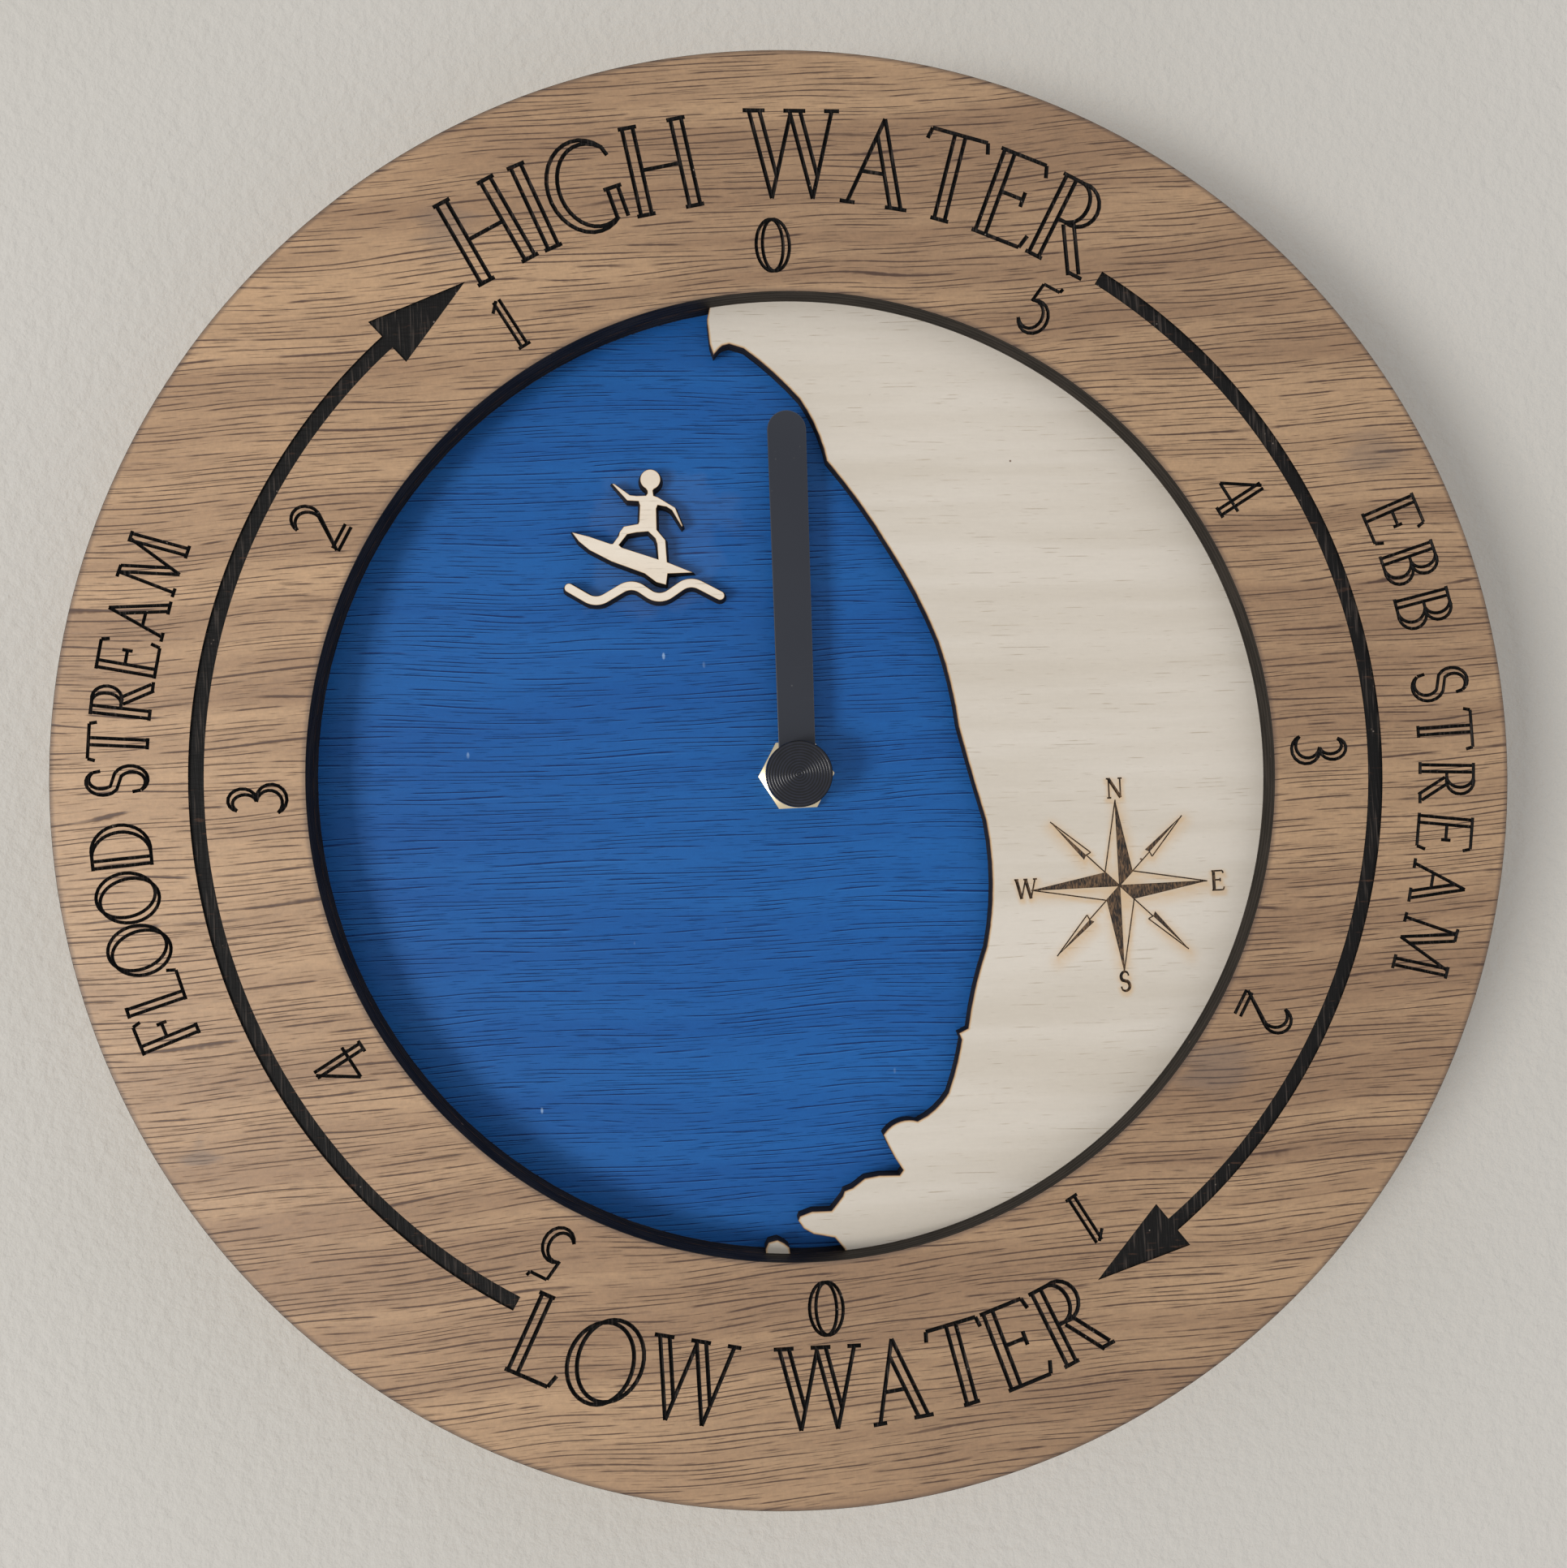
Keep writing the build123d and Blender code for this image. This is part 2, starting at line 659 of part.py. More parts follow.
# Each contact is one bent strip, run up the case wall from the cell to the circuit board
contact_width = 5.0
contact_rear = cover_thickness + joint_gap
leaf_station = battery_station - contact_width / 2
wall_face = inner_half - contact_thickness
leaf_face = battery_end + battery_end_gap
leaf_low = trough_low + battery_side_gap
with BuildPart() as positive_contact:
    with BuildSketch(front_plane(contact_rear)):
        with Locations((-(inner_half + wall_face) / 2, (leaf_low + board_high) / 2)):
            Rectangle(contact_thickness, board_high - leaf_low)
    extrude(amount=leaf_station + contact_width - contact_rear)
finish(positive_contact, "positive_contact")

leaf_top = battery_height + battery_radius
with BuildPart() as negative_contact:
    with BuildSketch(front_plane(leaf_station)):
        with BuildLine():
            bend = [(wall_face, leaf_low), (leaf_face, battery_height), (wall_face, leaf_top)]
            far_bend = [(x + contact_thickness, z) for x, z in bend]
            Polyline(*bend, *reversed(far_bend), close=True)
        make_face()
    extrude(amount=contact_width)
    with BuildSketch(front_plane(leaf_station)):
        with Locations(((inner_half + wall_face) / 2, (leaf_top + inner_half) / 2)):
            Rectangle(contact_thickness, inner_half - leaf_top)
    extrude(amount=contact_width)
    with BuildSketch(front_plane(contact_rear)):
        with Locations(((inner_half + board_right - contact_width) / 2, (inner_half + board_high) / 2)):
            Rectangle(inner_half - board_right + contact_width, contact_thickness)
    extrude(amount=leaf_station + contact_width - contact_rear)
finish(negative_contact, "negative_contact")

# Case: the front half holds the train and the trough, the rear half closes the train side
notch_radius = 7.0
with BuildPart() as case_front:
    with BuildSketch(front_plane(0)):
        RectangleRounded(case_side, case_side, case_corner)
    extrude(amount=case_depth)
    with BuildSketch(front_plane(0)):
        with Locations((0, (train_low + case_half) / 2)):
            Rectangle(case_side, case_half - train_low)
    extrude(amount=cover_thickness, mode=Mode.SUBTRACT)
    with BuildSketch(front_plane(cover_thickness)):
        with Locations((0, (train_low + inner_half) / 2)):
            Rectangle(2 * inner_half, inner_half - train_low)
    extrude(amount=case_floor - cover_thickness, mode=Mode.SUBTRACT)
    with BuildSketch(front_plane(0)):
        with Locations((0, battery_height)):
            Rectangle(2 * inner_half, trough_high - trough_low)
    extrude(amount=case_floor, mode=Mode.SUBTRACT)
    slot_places = [(-(inner_half + wall_face) / 2, train_low), ((inner_half + wall_face) / 2, train_low)]
    with BuildSketch(front_plane(0)):
        with Locations(*slot_places):
            Rectangle(contact_thickness, 2 * partition_thickness + joint_gap)
    extrude(amount=case_floor, mode=Mode.SUBTRACT)
    with BuildSketch(Plane.XY.offset(-case_half)):
        Circle(notch_radius)
    extrude(amount=case_wall, mode=Mode.SUBTRACT)
    for column in post_columns:
        for row in post_rows:
            small_bar(post_radius, plate_front, case_floor - plate_front, (column, row))
    with BuildSketch(front_plane(case_floor)):
        Circle(bush_radius + seat_clearance)
    extrude(amount=case_wall, mode=Mode.SUBTRACT)
    with BuildSketch(front_plane(case_floor)):
        small_holes(pivot_radius, motion_place, third_place)
    extrude(amount=pivot_depth + joint_gap, mode=Mode.SUBTRACT)
finish(case_front, "case_front")

cup_radius = knob_radius + cup_gap
with BuildPart() as case_rear:
    with BuildSketch(front_plane(0)) as cover_outline:
        RectangleRounded(case_side, case_side, case_corner)
        with Locations((0, (train_low + joint_gap - case_half) / 2)):
            Rectangle(case_side, case_half + train_low + joint_gap, mode=Mode.SUBTRACT)
    extrude(amount=cover_thickness)
    cup_front = cup_floor_station + cup_wall
    round_bar(cup_radius + cup_wall, cover_thickness, cup_front - cover_thickness, setting_place)
    with BuildSketch(front_plane(0)):
        with Locations(setting_place):
            Circle(cup_radius)
    extrude(amount=cup_floor_station, mode=Mode.SUBTRACT)
    with BuildSketch(front_plane(cup_floor_station)):
        small_holes(setting_shaft_radius, setting_place)
    extrude(amount=cup_wall, mode=Mode.SUBTRACT)
    for pad_place in pad_places:
        small_bar(pad_radius, cover_thickness, pad_height, pad_place)
    with BuildSketch(front_plane(cover_thickness)):
        small_holes(pivot_radius, third_place, rotor_place)
    extrude(amount=-(pivot_depth + joint_gap), mode=Mode.SUBTRACT)
finish(case_rear, "case_rear")
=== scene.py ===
import math

import bmesh
import bpy
from mathutils import Matrix, Vector, kdtree


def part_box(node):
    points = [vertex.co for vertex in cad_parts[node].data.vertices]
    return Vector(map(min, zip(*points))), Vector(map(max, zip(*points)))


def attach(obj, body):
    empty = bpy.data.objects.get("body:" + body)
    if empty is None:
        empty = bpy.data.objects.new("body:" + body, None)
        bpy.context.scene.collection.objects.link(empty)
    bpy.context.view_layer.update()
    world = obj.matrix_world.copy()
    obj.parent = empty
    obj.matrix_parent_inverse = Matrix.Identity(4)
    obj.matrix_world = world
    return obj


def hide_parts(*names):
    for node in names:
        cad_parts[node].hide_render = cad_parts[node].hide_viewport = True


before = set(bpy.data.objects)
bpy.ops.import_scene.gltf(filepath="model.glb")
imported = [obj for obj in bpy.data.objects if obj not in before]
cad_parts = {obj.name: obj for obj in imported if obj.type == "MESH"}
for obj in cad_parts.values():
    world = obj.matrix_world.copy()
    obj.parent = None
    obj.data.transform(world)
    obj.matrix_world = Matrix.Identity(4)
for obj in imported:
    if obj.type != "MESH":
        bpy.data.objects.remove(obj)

bl_info = {
    "name": "Wall clock with one hand",
    "version": (1, 0),
    "blender": (4, 5, 0),
    "location": "3D View > Sidebar > Clock",
    "description": "Engraved wooden dial ring over a cut coast and a blue sea, with a battery movement",
    "category": "Object",
}

MM = 0.001
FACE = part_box("face_ring")[0].y
RING_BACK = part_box("face_ring")[1].y
LAND_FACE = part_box("coast_layer")[0].y
CLOCK_RADIUS = -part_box("face_ring")[0].x - MM * 0.001
RING_BORE = 0.093
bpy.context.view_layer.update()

WELD = MM * 0.0005  # points closer than this become one
LEVEL = MM * 0.01  # points this close to a plane lie in it
SIDE = 0.5  # a face whose normal has less than this towards or from the viewer is a side
AXIS = (0, 0, 0)


# Letters, drawn on a cell one unit high. A stem is a straight thick stroke, a bowl is a curved
# stroke that swells in its middle, and a hair is thin.


def arc(across, height, wide, tall, start, end, steps=12):
    """Points of an elliptic arc, angles in degrees."""
    turns = [math.radians(start + (end - start) * step / steps) for step in range(steps + 1)]
    return [(across + wide * math.cos(turn), height + tall * math.sin(turn)) for turn in turns]


def hair(*points):
    return ("hair", points)


def stem(*points):
    return ("stem", points)


def bowl(*shape):
    return ("bowl", arc(*shape))


def serif(across, height, half=0.11):
    return hair((across - half, height), (across + half, height))


def upright(across):
    """A thick stem with a serif at each end."""
    return [stem((across, 0), (across, 1)), serif(across, 0), serif(across, 1)]


def slanting(foot, lean, high, low):
    """The second line of a slanting thick stroke, from one height to another."""
    return hair((foot - lean * high, high), (foot - lean * low, low))


def letter_plans(gap):
    """Width and strokes of every letter and figure on the dial.

    The two lines of a slanting thick stroke are given one by one, because they end at different heights.
    """
    left, right = 0.13, 0.71
    inside = left + gap / 2
    arm = [hair((left, 1), (0.6, 1)), hair((0.6, 1), (0.64, 0.86))]
    middle = [hair((inside, 0.53), (0.47, 0.53)), hair((0.47, 0.62), (0.47, 0.44))]
    foot = [hair((left, 0), (0.62, 0)), hair((0.62, 0), (0.67, 0.16))]
    hook = stem((0.06, 0.03), (0.58, 0.03))
    slant = 0.74 - gap * 1.05
    plans = {
        "E": (0.68, upright(left) + arm + middle + foot),
        "F": (0.64, upright(left) + arm + middle),
        "H": (0.86, upright(left) + upright(right) + [hair((inside, 0.5), (right - gap / 2, 0.5))]),
        "I": (0.28, upright(left)),
        "L": (0.64, upright(left) + foot),
        "O": (0.94, [bowl(0.47, 0.5, 0.42, 0.5, 118, end, 18) for end in (298, -62)]),
        "0": (0.62, [bowl(0.31, 0.5, 0.26, 0.5, 90, end, 16) for end in (270, -90)]),
        "1": (0.36, [stem((0.2, 0), (0.2, 1)), hair((0.02, 0.82), (0.2, 1)), serif(0.2, 0, 0.13)]),
        "2": (0.62, [("bowl", arc(0.28, 0.73, 0.24, 0.27, 160, -30) + [(0.06, 0)]), hook]),
        "3": (0.56, [bowl(0.26, 0.76, 0.19, 0.24, 150, -90), bowl(0.25, 0.26, 0.26, 0.26, 90, -150)]),
    }
    plans["A"] = 0.84, [
        hair((0.1, 0), (0.42, 1), (0.74, 0)), serif(0.1, 0, 0.09), serif(0.68, 0, 0.13),
        slanting(slant, 0.32, 1 - gap * 1.64, 0), hair((0.22, 0.37), (slant - 0.12, 0.37)),
    ]
    plans["B"] = 0.66, upright(left) + [
        bowl(0.3, 0.76, 0.22, 0.24, 90, -90), hair((left, 1), (0.3, 1)), bowl(0.3, 0.26, 0.27, 0.26, 90, -90),
        hair((left, 0), (0.3, 0)), hair((inside, 0.52), (0.3, 0.52)),
    ]
    plans["D"] = 0.86, upright(left) + [
        bowl(0.3, 0.5, 0.48, 0.5, 90, -90, 18), hair((left, 1), (0.3, 1)), hair((left, 0), (0.3, 0)),
    ]
    plans["G"] = 0.86, [
        bowl(0.47, 0.5, 0.42, 0.5, 48, 300, 22), stem((0.72, 0.04), (0.72, 0.4)),
        serif(0.72, 0.4), hair((0.75, 0.88), (0.79, 0.76)),
    ]
    plans["M"] = 1.06, [
        hair((0.1, 0), (0.16, 1), (0.47, 0), (0.84, 1)), stem((0.87, 1), (0.93, 0)),
        slanting(0.47 + gap * 1.05, 0.31, 1, gap * 1.58), serif(0.1, 0, 0.09), serif(0.18, 1, 0.12),
        serif(0.88, 1, 0.11), serif(0.93, 0, 0.13),
    ]
    plans["N"] = 0.88, [
        hair((0.14, 0), (0.14, 1), (0.74, 0.19)), hair((0.14, 0.81), (0.74, 0), (0.74, 1)),
        serif(0.14, 0), serif(0.1, 1, 0.09), serif(0.74, 1),
    ]
    plans["R"] = 0.76, upright(left) + [
        bowl(0.3, 0.75, 0.23, 0.25, 90, -90), hair((left, 1), (0.3, 1)), hair((inside, 0.5), (0.3, 0.5)),
        stem((0.34, 0.5), (0.66, 0)), serif(0.68, 0, 0.09),
    ]
    plans["S"] = 0.56, [
        ("bowl", arc(0.28, 0.75, 0.21, 0.25, 40, 230) + arc(0.28, 0.26, 0.23, 0.26, 60, -140)),
        hair((0.44, 0.91), (0.47, 0.78)), hair((0.1, 0.1), (0.07, 0.24)),
    ]
    plans["T"] = 0.74, upright(0.37) + [
        hair((0.03, 1), (0.71, 1)), hair((0.03, 1), (0, 0.87)), hair((0.71, 1), (0.74, 0.87)),
    ]
    plans["W"] = 1.16, [hair((0.1, 1), (0.36, 0), (0.59, 0.96)), hair((0.58, 1), (0.84, 0), (1.08, 1))]
    for point in (0.36, 0.84):
        plans["W"][1].extend([slanting(point + gap * 1.03, 0.26, 1, gap * 2.06), serif(point - 0.2, 1, 0.13)])
    plans["W"][1].append(serif(1.08, 1, 0.09))
    plans["4"] = 0.7, [
        hair((0.52, 1), (0.04, 0.32)), hair((0.04, 0.32), (0.7, 0.32)), stem((0.52, 0), (0.52, 1)),
        serif(0.52, 0, 0.12),
    ]
    plans["5"] = 0.6, [
        hair((0.2, 0.97), (0.14, 0.56)), bowl(0.27, 0.31, 0.26, 0.31, 112, -150, 14),
        hair((0.2, 0.97), (0.55, 0.97)), hair((0.55, 0.97), (0.58, 1.06)),
    ]
    return plans


def beside(points, shift, tapered):
    """The line moved sideways by shift, and back onto itself at both ends where it is tapered."""
    moved = []
    last = len(points) - 1
    for index, point in enumerate(points):
        before = Vector(points[max(index - 1, 0)])
        after = Vector(points[min(index + 1, last)])
        along = (after - before).normalized()
        swell = math.sin(math.pi * index / last) if tapered else 1
        moved.append(Vector(point) + Vector((-along.y, along.x)) * shift * swell)
    return moved


def inline_strokes(kind, points, gap):
    """A hair as straight lines, and a thick stroke as two lines with bare wood between them."""
    if kind == "hair":
        return [[Vector(start), Vector(end)] for start, end in zip(points, points[1:])]
    return [beside(points, side * gap / 2, kind == "bowl") for side in (-1, 1)]


def word_strokes(word, radius, middle, height, gap, tracking, outward=True, slim=1.0):
    """Strokes of a word set round the dial. Each letter stays straight and is turned as a whole.

    The feet of the letters stand on the radius, and the word's middle is at this angle in degrees.
    """
    plans = letter_plans(gap)
    word_space = 0.38
    side = 1 if outward else -1
    widths = [slim * (word_space if letter == " " else plans[letter][0]) for letter in word]
    place = -(sum(widths) + tracking * (len(word) - 1)) * height / 2
    strokes = []
    for letter, width in zip(word, widths):
        if letter != " ":
            angle = math.radians(middle) - (place + width * height / 2) / (radius + side * height / 2) * side
            turn = Matrix.Rotation(angle - side * math.pi / 2, 2)
            for kind, points in plans[letter][1]:
                for line in inline_strokes(kind, [(x * slim, y) for x, y in points], gap):
                    flat = [Vector(((p.x - width / 2) * height, p.y * height)) for p in line]
                    strokes.append([turn @ (p + Vector((0, radius * side))) for p in flat])
        place += (width + tracking) * height
    return strokes


# Meshes


def placed(name, data):
    """A new object in the scene."""
    holder = bpy.data.objects.new(name, data)
    bpy.context.scene.collection.objects.link(holder)
    return holder


def mesh_of(shape, name):
    """The mesh of a bmesh, which is used up."""
    mesh = bpy.data.meshes.new(name)
    shape.to_mesh(mesh)
    shape.free()
    return mesh


def stroke_cutter(strokes, width, depth, face, widths=None):
    """Closed slots along the strokes, sunk into an upright face that looks at the viewer.

    Each slot is a few thousandths of a millimetre deeper or shallower than its neighbours, so that no
    two of them share a corner or a floor.
    """
    curve = bpy.data.curves.new("strokes", "CURVE")
    curve.dimensions = "3D"
    curve.twist_mode = "Z_UP"
    curve.bevel_depth = width / 2
    curve.bevel_resolution = 0
    curve.extrude = max(depth - width / 2, LEVEL)
    curve.use_fill_caps = True
    for index, stroke in enumerate(strokes):
        spline = curve.splines.new("POLY")
        spline.points.add(len(stroke) - 1)
        step = (index * 5 % 11) * MM * 0.003
        for number, (point, place) in enumerate(zip(spline.points, stroke)):
            point.co = (place[0], place[1], step, 1)
            if widths:
                point.radius = widths[index][number]
    holder = placed("strokes", curve)
    bpy.context.view_layer.update()
    mesh = bpy.data.meshes.new_from_object(holder)
    bpy.data.objects.remove(holder)
    bpy.data.curves.remove(curve)
    mesh.transform(Matrix.Translation((0, face, 0)) @ Matrix.Rotation(math.pi / 2, 4, "X"))
    cutter = bmesh.new()
    cutter.from_mesh(mesh)
    bpy.data.meshes.remove(mesh)
    bmesh.ops.remove_doubles(cutter, verts=cutter.verts, dist=2 * WELD)
    bmesh.ops.recalc_face_normals(cutter, faces=cutter.faces)
    return cutter


def prism(cutter, corners, near, far):
    """Adds a closed prism over these corners of the dial plane, from one depth to another."""
    face = cutter.faces.new([cutter.verts.new((x, near, z)) for x, z in corners])
    grown = bmesh.ops.extrude_face_region(cutter, geom=[face], use_keep_orig=True)
    moved = [item for item in grown["geom"] if isinstance(item, bmesh.types.BMVert)]
    bmesh.ops.translate(cutter, verts=moved, vec=(0, far - near, 0))
    bmesh.ops.recalc_face_normals(cutter, faces=cutter.faces)


def swept_slot(cutter, radius, width, start, end, near, far):
    """Adds a closed slot of square section along an arc of the dial, angles in degrees."""
    inner, outer = radius - width / 2, radius + width / 2
    corners = [(inner, near), (outer, near), (outer, far), (inner, far)]
    section = cutter.faces.new([cutter.verts.new((r, y, 0)) for r, y in corners])
    turn = Matrix.Rotation(-math.radians(start), 3, "Y")
    bmesh.ops.rotate(cutter, verts=section.verts, cent=AXIS, matrix=turn)
    sweep = math.radians(end - start)
    bmesh.ops.spin(cutter, geom=[section], cent=AXIS, axis=(0, -1, 0), angle=sweep, steps=72)
    bmesh.ops.recalc_face_normals(cutter, faces=cutter.faces)


def joined(target, extra):
    """Moves what one bmesh holds into another."""
    carrier = mesh_of(extra, "carrier")
    target.from_mesh(carrier)
    bpy.data.meshes.remove(carrier)


def merged_copy(node):
    """A CAD node's mesh with its loose triangles joined to plain faces."""
    copy = bmesh.new()
    copy.from_mesh(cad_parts[node].data)
    bmesh.ops.remove_doubles(copy, verts=copy.verts, dist=WELD)
    bmesh.ops.dissolve_limit(copy, angle_limit=math.radians(0.5), verts=copy.verts, edges=copy.edges)
    return copy


def shade(shape, limit=32, flat_sides=False):
    """Smooth faces, with a crease wherever the surface turns by more than the limit in degrees.

    Faces that look straight forwards or back are flat, and so are large upright sides where asked.
    """
    straight, large = 0.9999, (4 * MM) ** 2
    for face in shape.faces:
        side = max(abs(face.normal.x), abs(face.normal.z)) > straight and face.calc_area() > large
        face.smooth = abs(face.normal.y) < 0.999 and not (flat_sides and side)
    for edge in shape.edges:
        edge.smooth = edge.is_manifold and edge.calc_face_angle(math.pi) < math.radians(limit)


def island_of(face, left):
    """The faces that hang together with this one. They are taken out of those that are left."""
    island, border = set(), [face]
    while border:
        face = border.pop()
        island.add(face)
        fresh = {other for edge in face.edges for other in edge.link_faces} & left
        left -= fresh
        border += fresh
    return island


def refine(piece, limit=32, flat_sides=False):
    """Smooth shading with creases on a piece that has been cut, and no crumbs left of the cut."""
    crumb = 20
    shape = bmesh.new()
    shape.from_mesh(piece.data)
    bmesh.ops.dissolve_degenerate(shape, dist=MM * 0.0003, edges=shape.edges)
    left = set(shape.faces)
    while left:
        island = island_of(left.pop(), left)
        if len(island) < crumb < len(shape.faces):
            verts = {vert for face in island for vert in face.verts}
            bmesh.ops.delete(shape, geom=list(verts), context="VERTS")
    shade(shape, limit, flat_sides)
    shape.to_mesh(piece.data)
    shape.free()


def new_piece(name, shape, body, slot_name, *finishes):
    """Makes an object of a finished bmesh and lets it ride on its body."""
    mesh = mesh_of(shape, name)
    for finish in finishes:
        mesh.materials.append(look(finish))
    piece = placed(name, mesh)
    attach(piece, body)
    return piece


def carve(piece, cutter, operation="DIFFERENCE"):
    """Cuts the piece with a bmesh. The cut faces take the piece's second finish."""
    for face in cutter.faces:
        face.smooth = False
    mesh = mesh_of(cutter, "cutter")
    mesh.materials.append(piece.data.materials[min(1, len(piece.data.materials) - 1)])
    tool = placed("cutter", mesh)
    cut = piece.modifiers.new("cut", "BOOLEAN")
    cut.operation = operation
    cut.solver = "EXACT"
    cut.use_self = operation == "DIFFERENCE"
    cut.material_mode = "TRANSFER"
    cut.object = tool
    graph = bpy.context.evaluated_depsgraph_get()
    result = bpy.data.meshes.new_from_object(piece.evaluated_get(graph))
    piece.modifiers.clear()
    bpy.data.objects.remove(tool)
    bpy.data.meshes.remove(mesh)
    if not result.polygons:
        raise RuntimeError(f"{piece.name}: nothing is left of it after the cut")
    old, name = piece.data, piece.data.name
    piece.data = result
    bpy.data.meshes.remove(old)
    result.name = name


def lathe(profile, steps=96):
    """A solid of revolution about the hand's axis from points (radius, depth)."""
    shape = bmesh.new()
    corners = [shape.verts.new((radius, y, 0)) for radius, y in profile]
    edges = [shape.edges.new(pair) for pair in zip(corners, corners[1:])]
    bmesh.ops.spin(
        shape, geom=corners + edges, cent=AXIS, axis=(0, 1, 0), angle=math.tau, steps=steps, use_merge=True
    )
    bmesh.ops.remove_doubles(shape, verts=shape.verts, dist=WELD)
    bmesh.ops.recalc_face_normals(shape, faces=shape.faces)
    return shape


def soften(shape, width, chosen=lambda place: True):
    """Rounds every sharp edge whose two ends are chosen."""
    closed = [edge for edge in shape.edges if edge.is_manifold and all(chosen(v.co) for v in edge.verts)]
    sharp = [edge for edge in closed if edge.calc_face_angle(0) > math.radians(35)]
    bmesh.ops.bevel(
        shape, geom=sharp, offset=width, offset_type="OFFSET", affect="EDGES", segments=2, profile=0.5,
        material=-1, clamp_overlap=True,
    )


# Shader nodes


def colour(red, green, blue):
    """A colour as a screen shows it, 0 to 255, as the linear value that a shader takes."""
    linear = [c / 255 / 12.92 if c <= 10 else ((c / 255 + 0.055) / 1.055) ** 2.4 for c in (red, green, blue)]
    return (*linear, 1)


def setting(name):
    """A colour of the panel, as a shader takes it."""
    return (*getattr(bpy.context.scene.clock_colours, name), 1)


def feed(node, inputs):
    """Gives a node its inputs, each a plain value or a wire."""
    for name, value in inputs.items():
        if isinstance(value, Wire):
            node.id_data.links.new(value.socket, node.inputs[name])
        else:
            node.inputs[name].default_value = value


def add(tree, kind, inputs, **settings):
    """Adds a shader node."""
    made = tree.nodes.new("ShaderNode" + kind)
    for name, value in settings.items():
        setattr(made, name, value)
    feed(made, inputs)
    return made


class Wire:
    """An output of a shader node: a value, a colour or a place. Values add and multiply as numbers do."""

    def __init__(self, tree, socket):
        self.tree, self.socket = tree, socket

    def node(self, kind, inputs, output=0, **settings):
        """An output of a new node in the same tree."""
        return Wire(self.tree, add(self.tree, kind, inputs, **settings).outputs[output])

    def math(self, operation, first, second=0.0):
        return self.node("Math", {0: first, 1: second}, operation=operation)

    def __add__(self, other):
        return self.math("ADD", self, other)

    def __sub__(self, other):
        return self.math("SUBTRACT", self, other)

    def __rsub__(self, other):
        return self.math("SUBTRACT", other, self)

    def __mul__(self, other):
        return self.math("MULTIPLY", self, other)

    def __truediv__(self, other):
        return self.math("DIVIDE", self, other)

    def __abs__(self):
        return self.math("ABSOLUTE", self)

    def largest(self, other):
        return self.math("MAXIMUM", self, other)

    def band(self, low, high, start=0.0, end=1.0):
        """A soft step from start, where the value is low, to end, where it is high."""
        inputs = {"Value": self, "From Min": low, "From Max": high, "To Min": start, "To Max": end}
        return self.node("MapRange", inputs, interpolation_type="SMOOTHSTEP")

    def blend(self, first, second):
        """The first colour where the value is 0, the second where it is 1."""
        return self.node("Mix", {0: self, 6: first, 7: second}, 2, data_type="RGBA")

    def lit(self, value):
        """The colour made lighter or darker."""
        return self.node("HueSaturation", {"Color": self, "Value": value})

    def cloud(self, scale, detail=2.0, roughness=0.5, distortion=0.0):
        """Soft noise over the place."""
        inputs = {"Scale": scale, "Detail": detail, "Roughness": roughness, "Distortion": distortion}
        return self.node("TexNoise", {"Vector": self, **inputs})

    def specks(self, scale):
        """Distance to the nearest of many scattered points."""
        return self.node("TexVoronoi", {"Vector": self, "Scale": scale}, "Distance")

    def stretched(self, x, y, z, turn=0.0):
        """The place with each axis multiplied, turned in degrees about the hand's axis."""
        inputs = {"Vector": self, "Scale": (x, y, z), "Rotation": (0, math.radians(turn), 0)}
        return self.node("Mapping", inputs)

    def apart(self):
        return [Wire(self.tree, socket) for socket in add(self.tree, "SeparateXYZ", {0: self}).outputs]

    def together(self, x, y, z):
        return self.node("CombineXYZ", {0: x, 1: y, 2: z})

    def reach(self, x=0.0, z=0.0):
        """Distance of the place from a point of the dial, its depth left out, in metres."""
        across, _, height = self.apart()
        flat = self.together(across - x, 0.0, height - z)
        return self.node("VectorMath", {0: flat}, "Value", operation="LENGTH")


def object_place(tree):
    return Wire(tree, add(tree, "TexCoord", {}).outputs["Object"])


def new_group(name, inputs, outputs):
    """An empty node group with these sockets: wires of its inputs, its place and its output node."""
    group = bpy.data.node_groups.new(name, "ShaderNodeTree")
    for label, default in inputs.items():
        kind = "Float" if isinstance(default, float) else "Color"
        socket = group.interface.new_socket(label, in_out="INPUT", socket_type="NodeSocket" + kind)
        socket.default_value = default
    for label, kind in outputs.items():
        group.interface.new_socket(label, in_out="OUTPUT", socket_type="NodeSocket" + kind)
    given = {socket.name: Wire(group, socket) for socket in group.nodes.new("NodeGroupInput").outputs}
    return given, object_place(group), group.nodes.new("NodeGroupOutput")


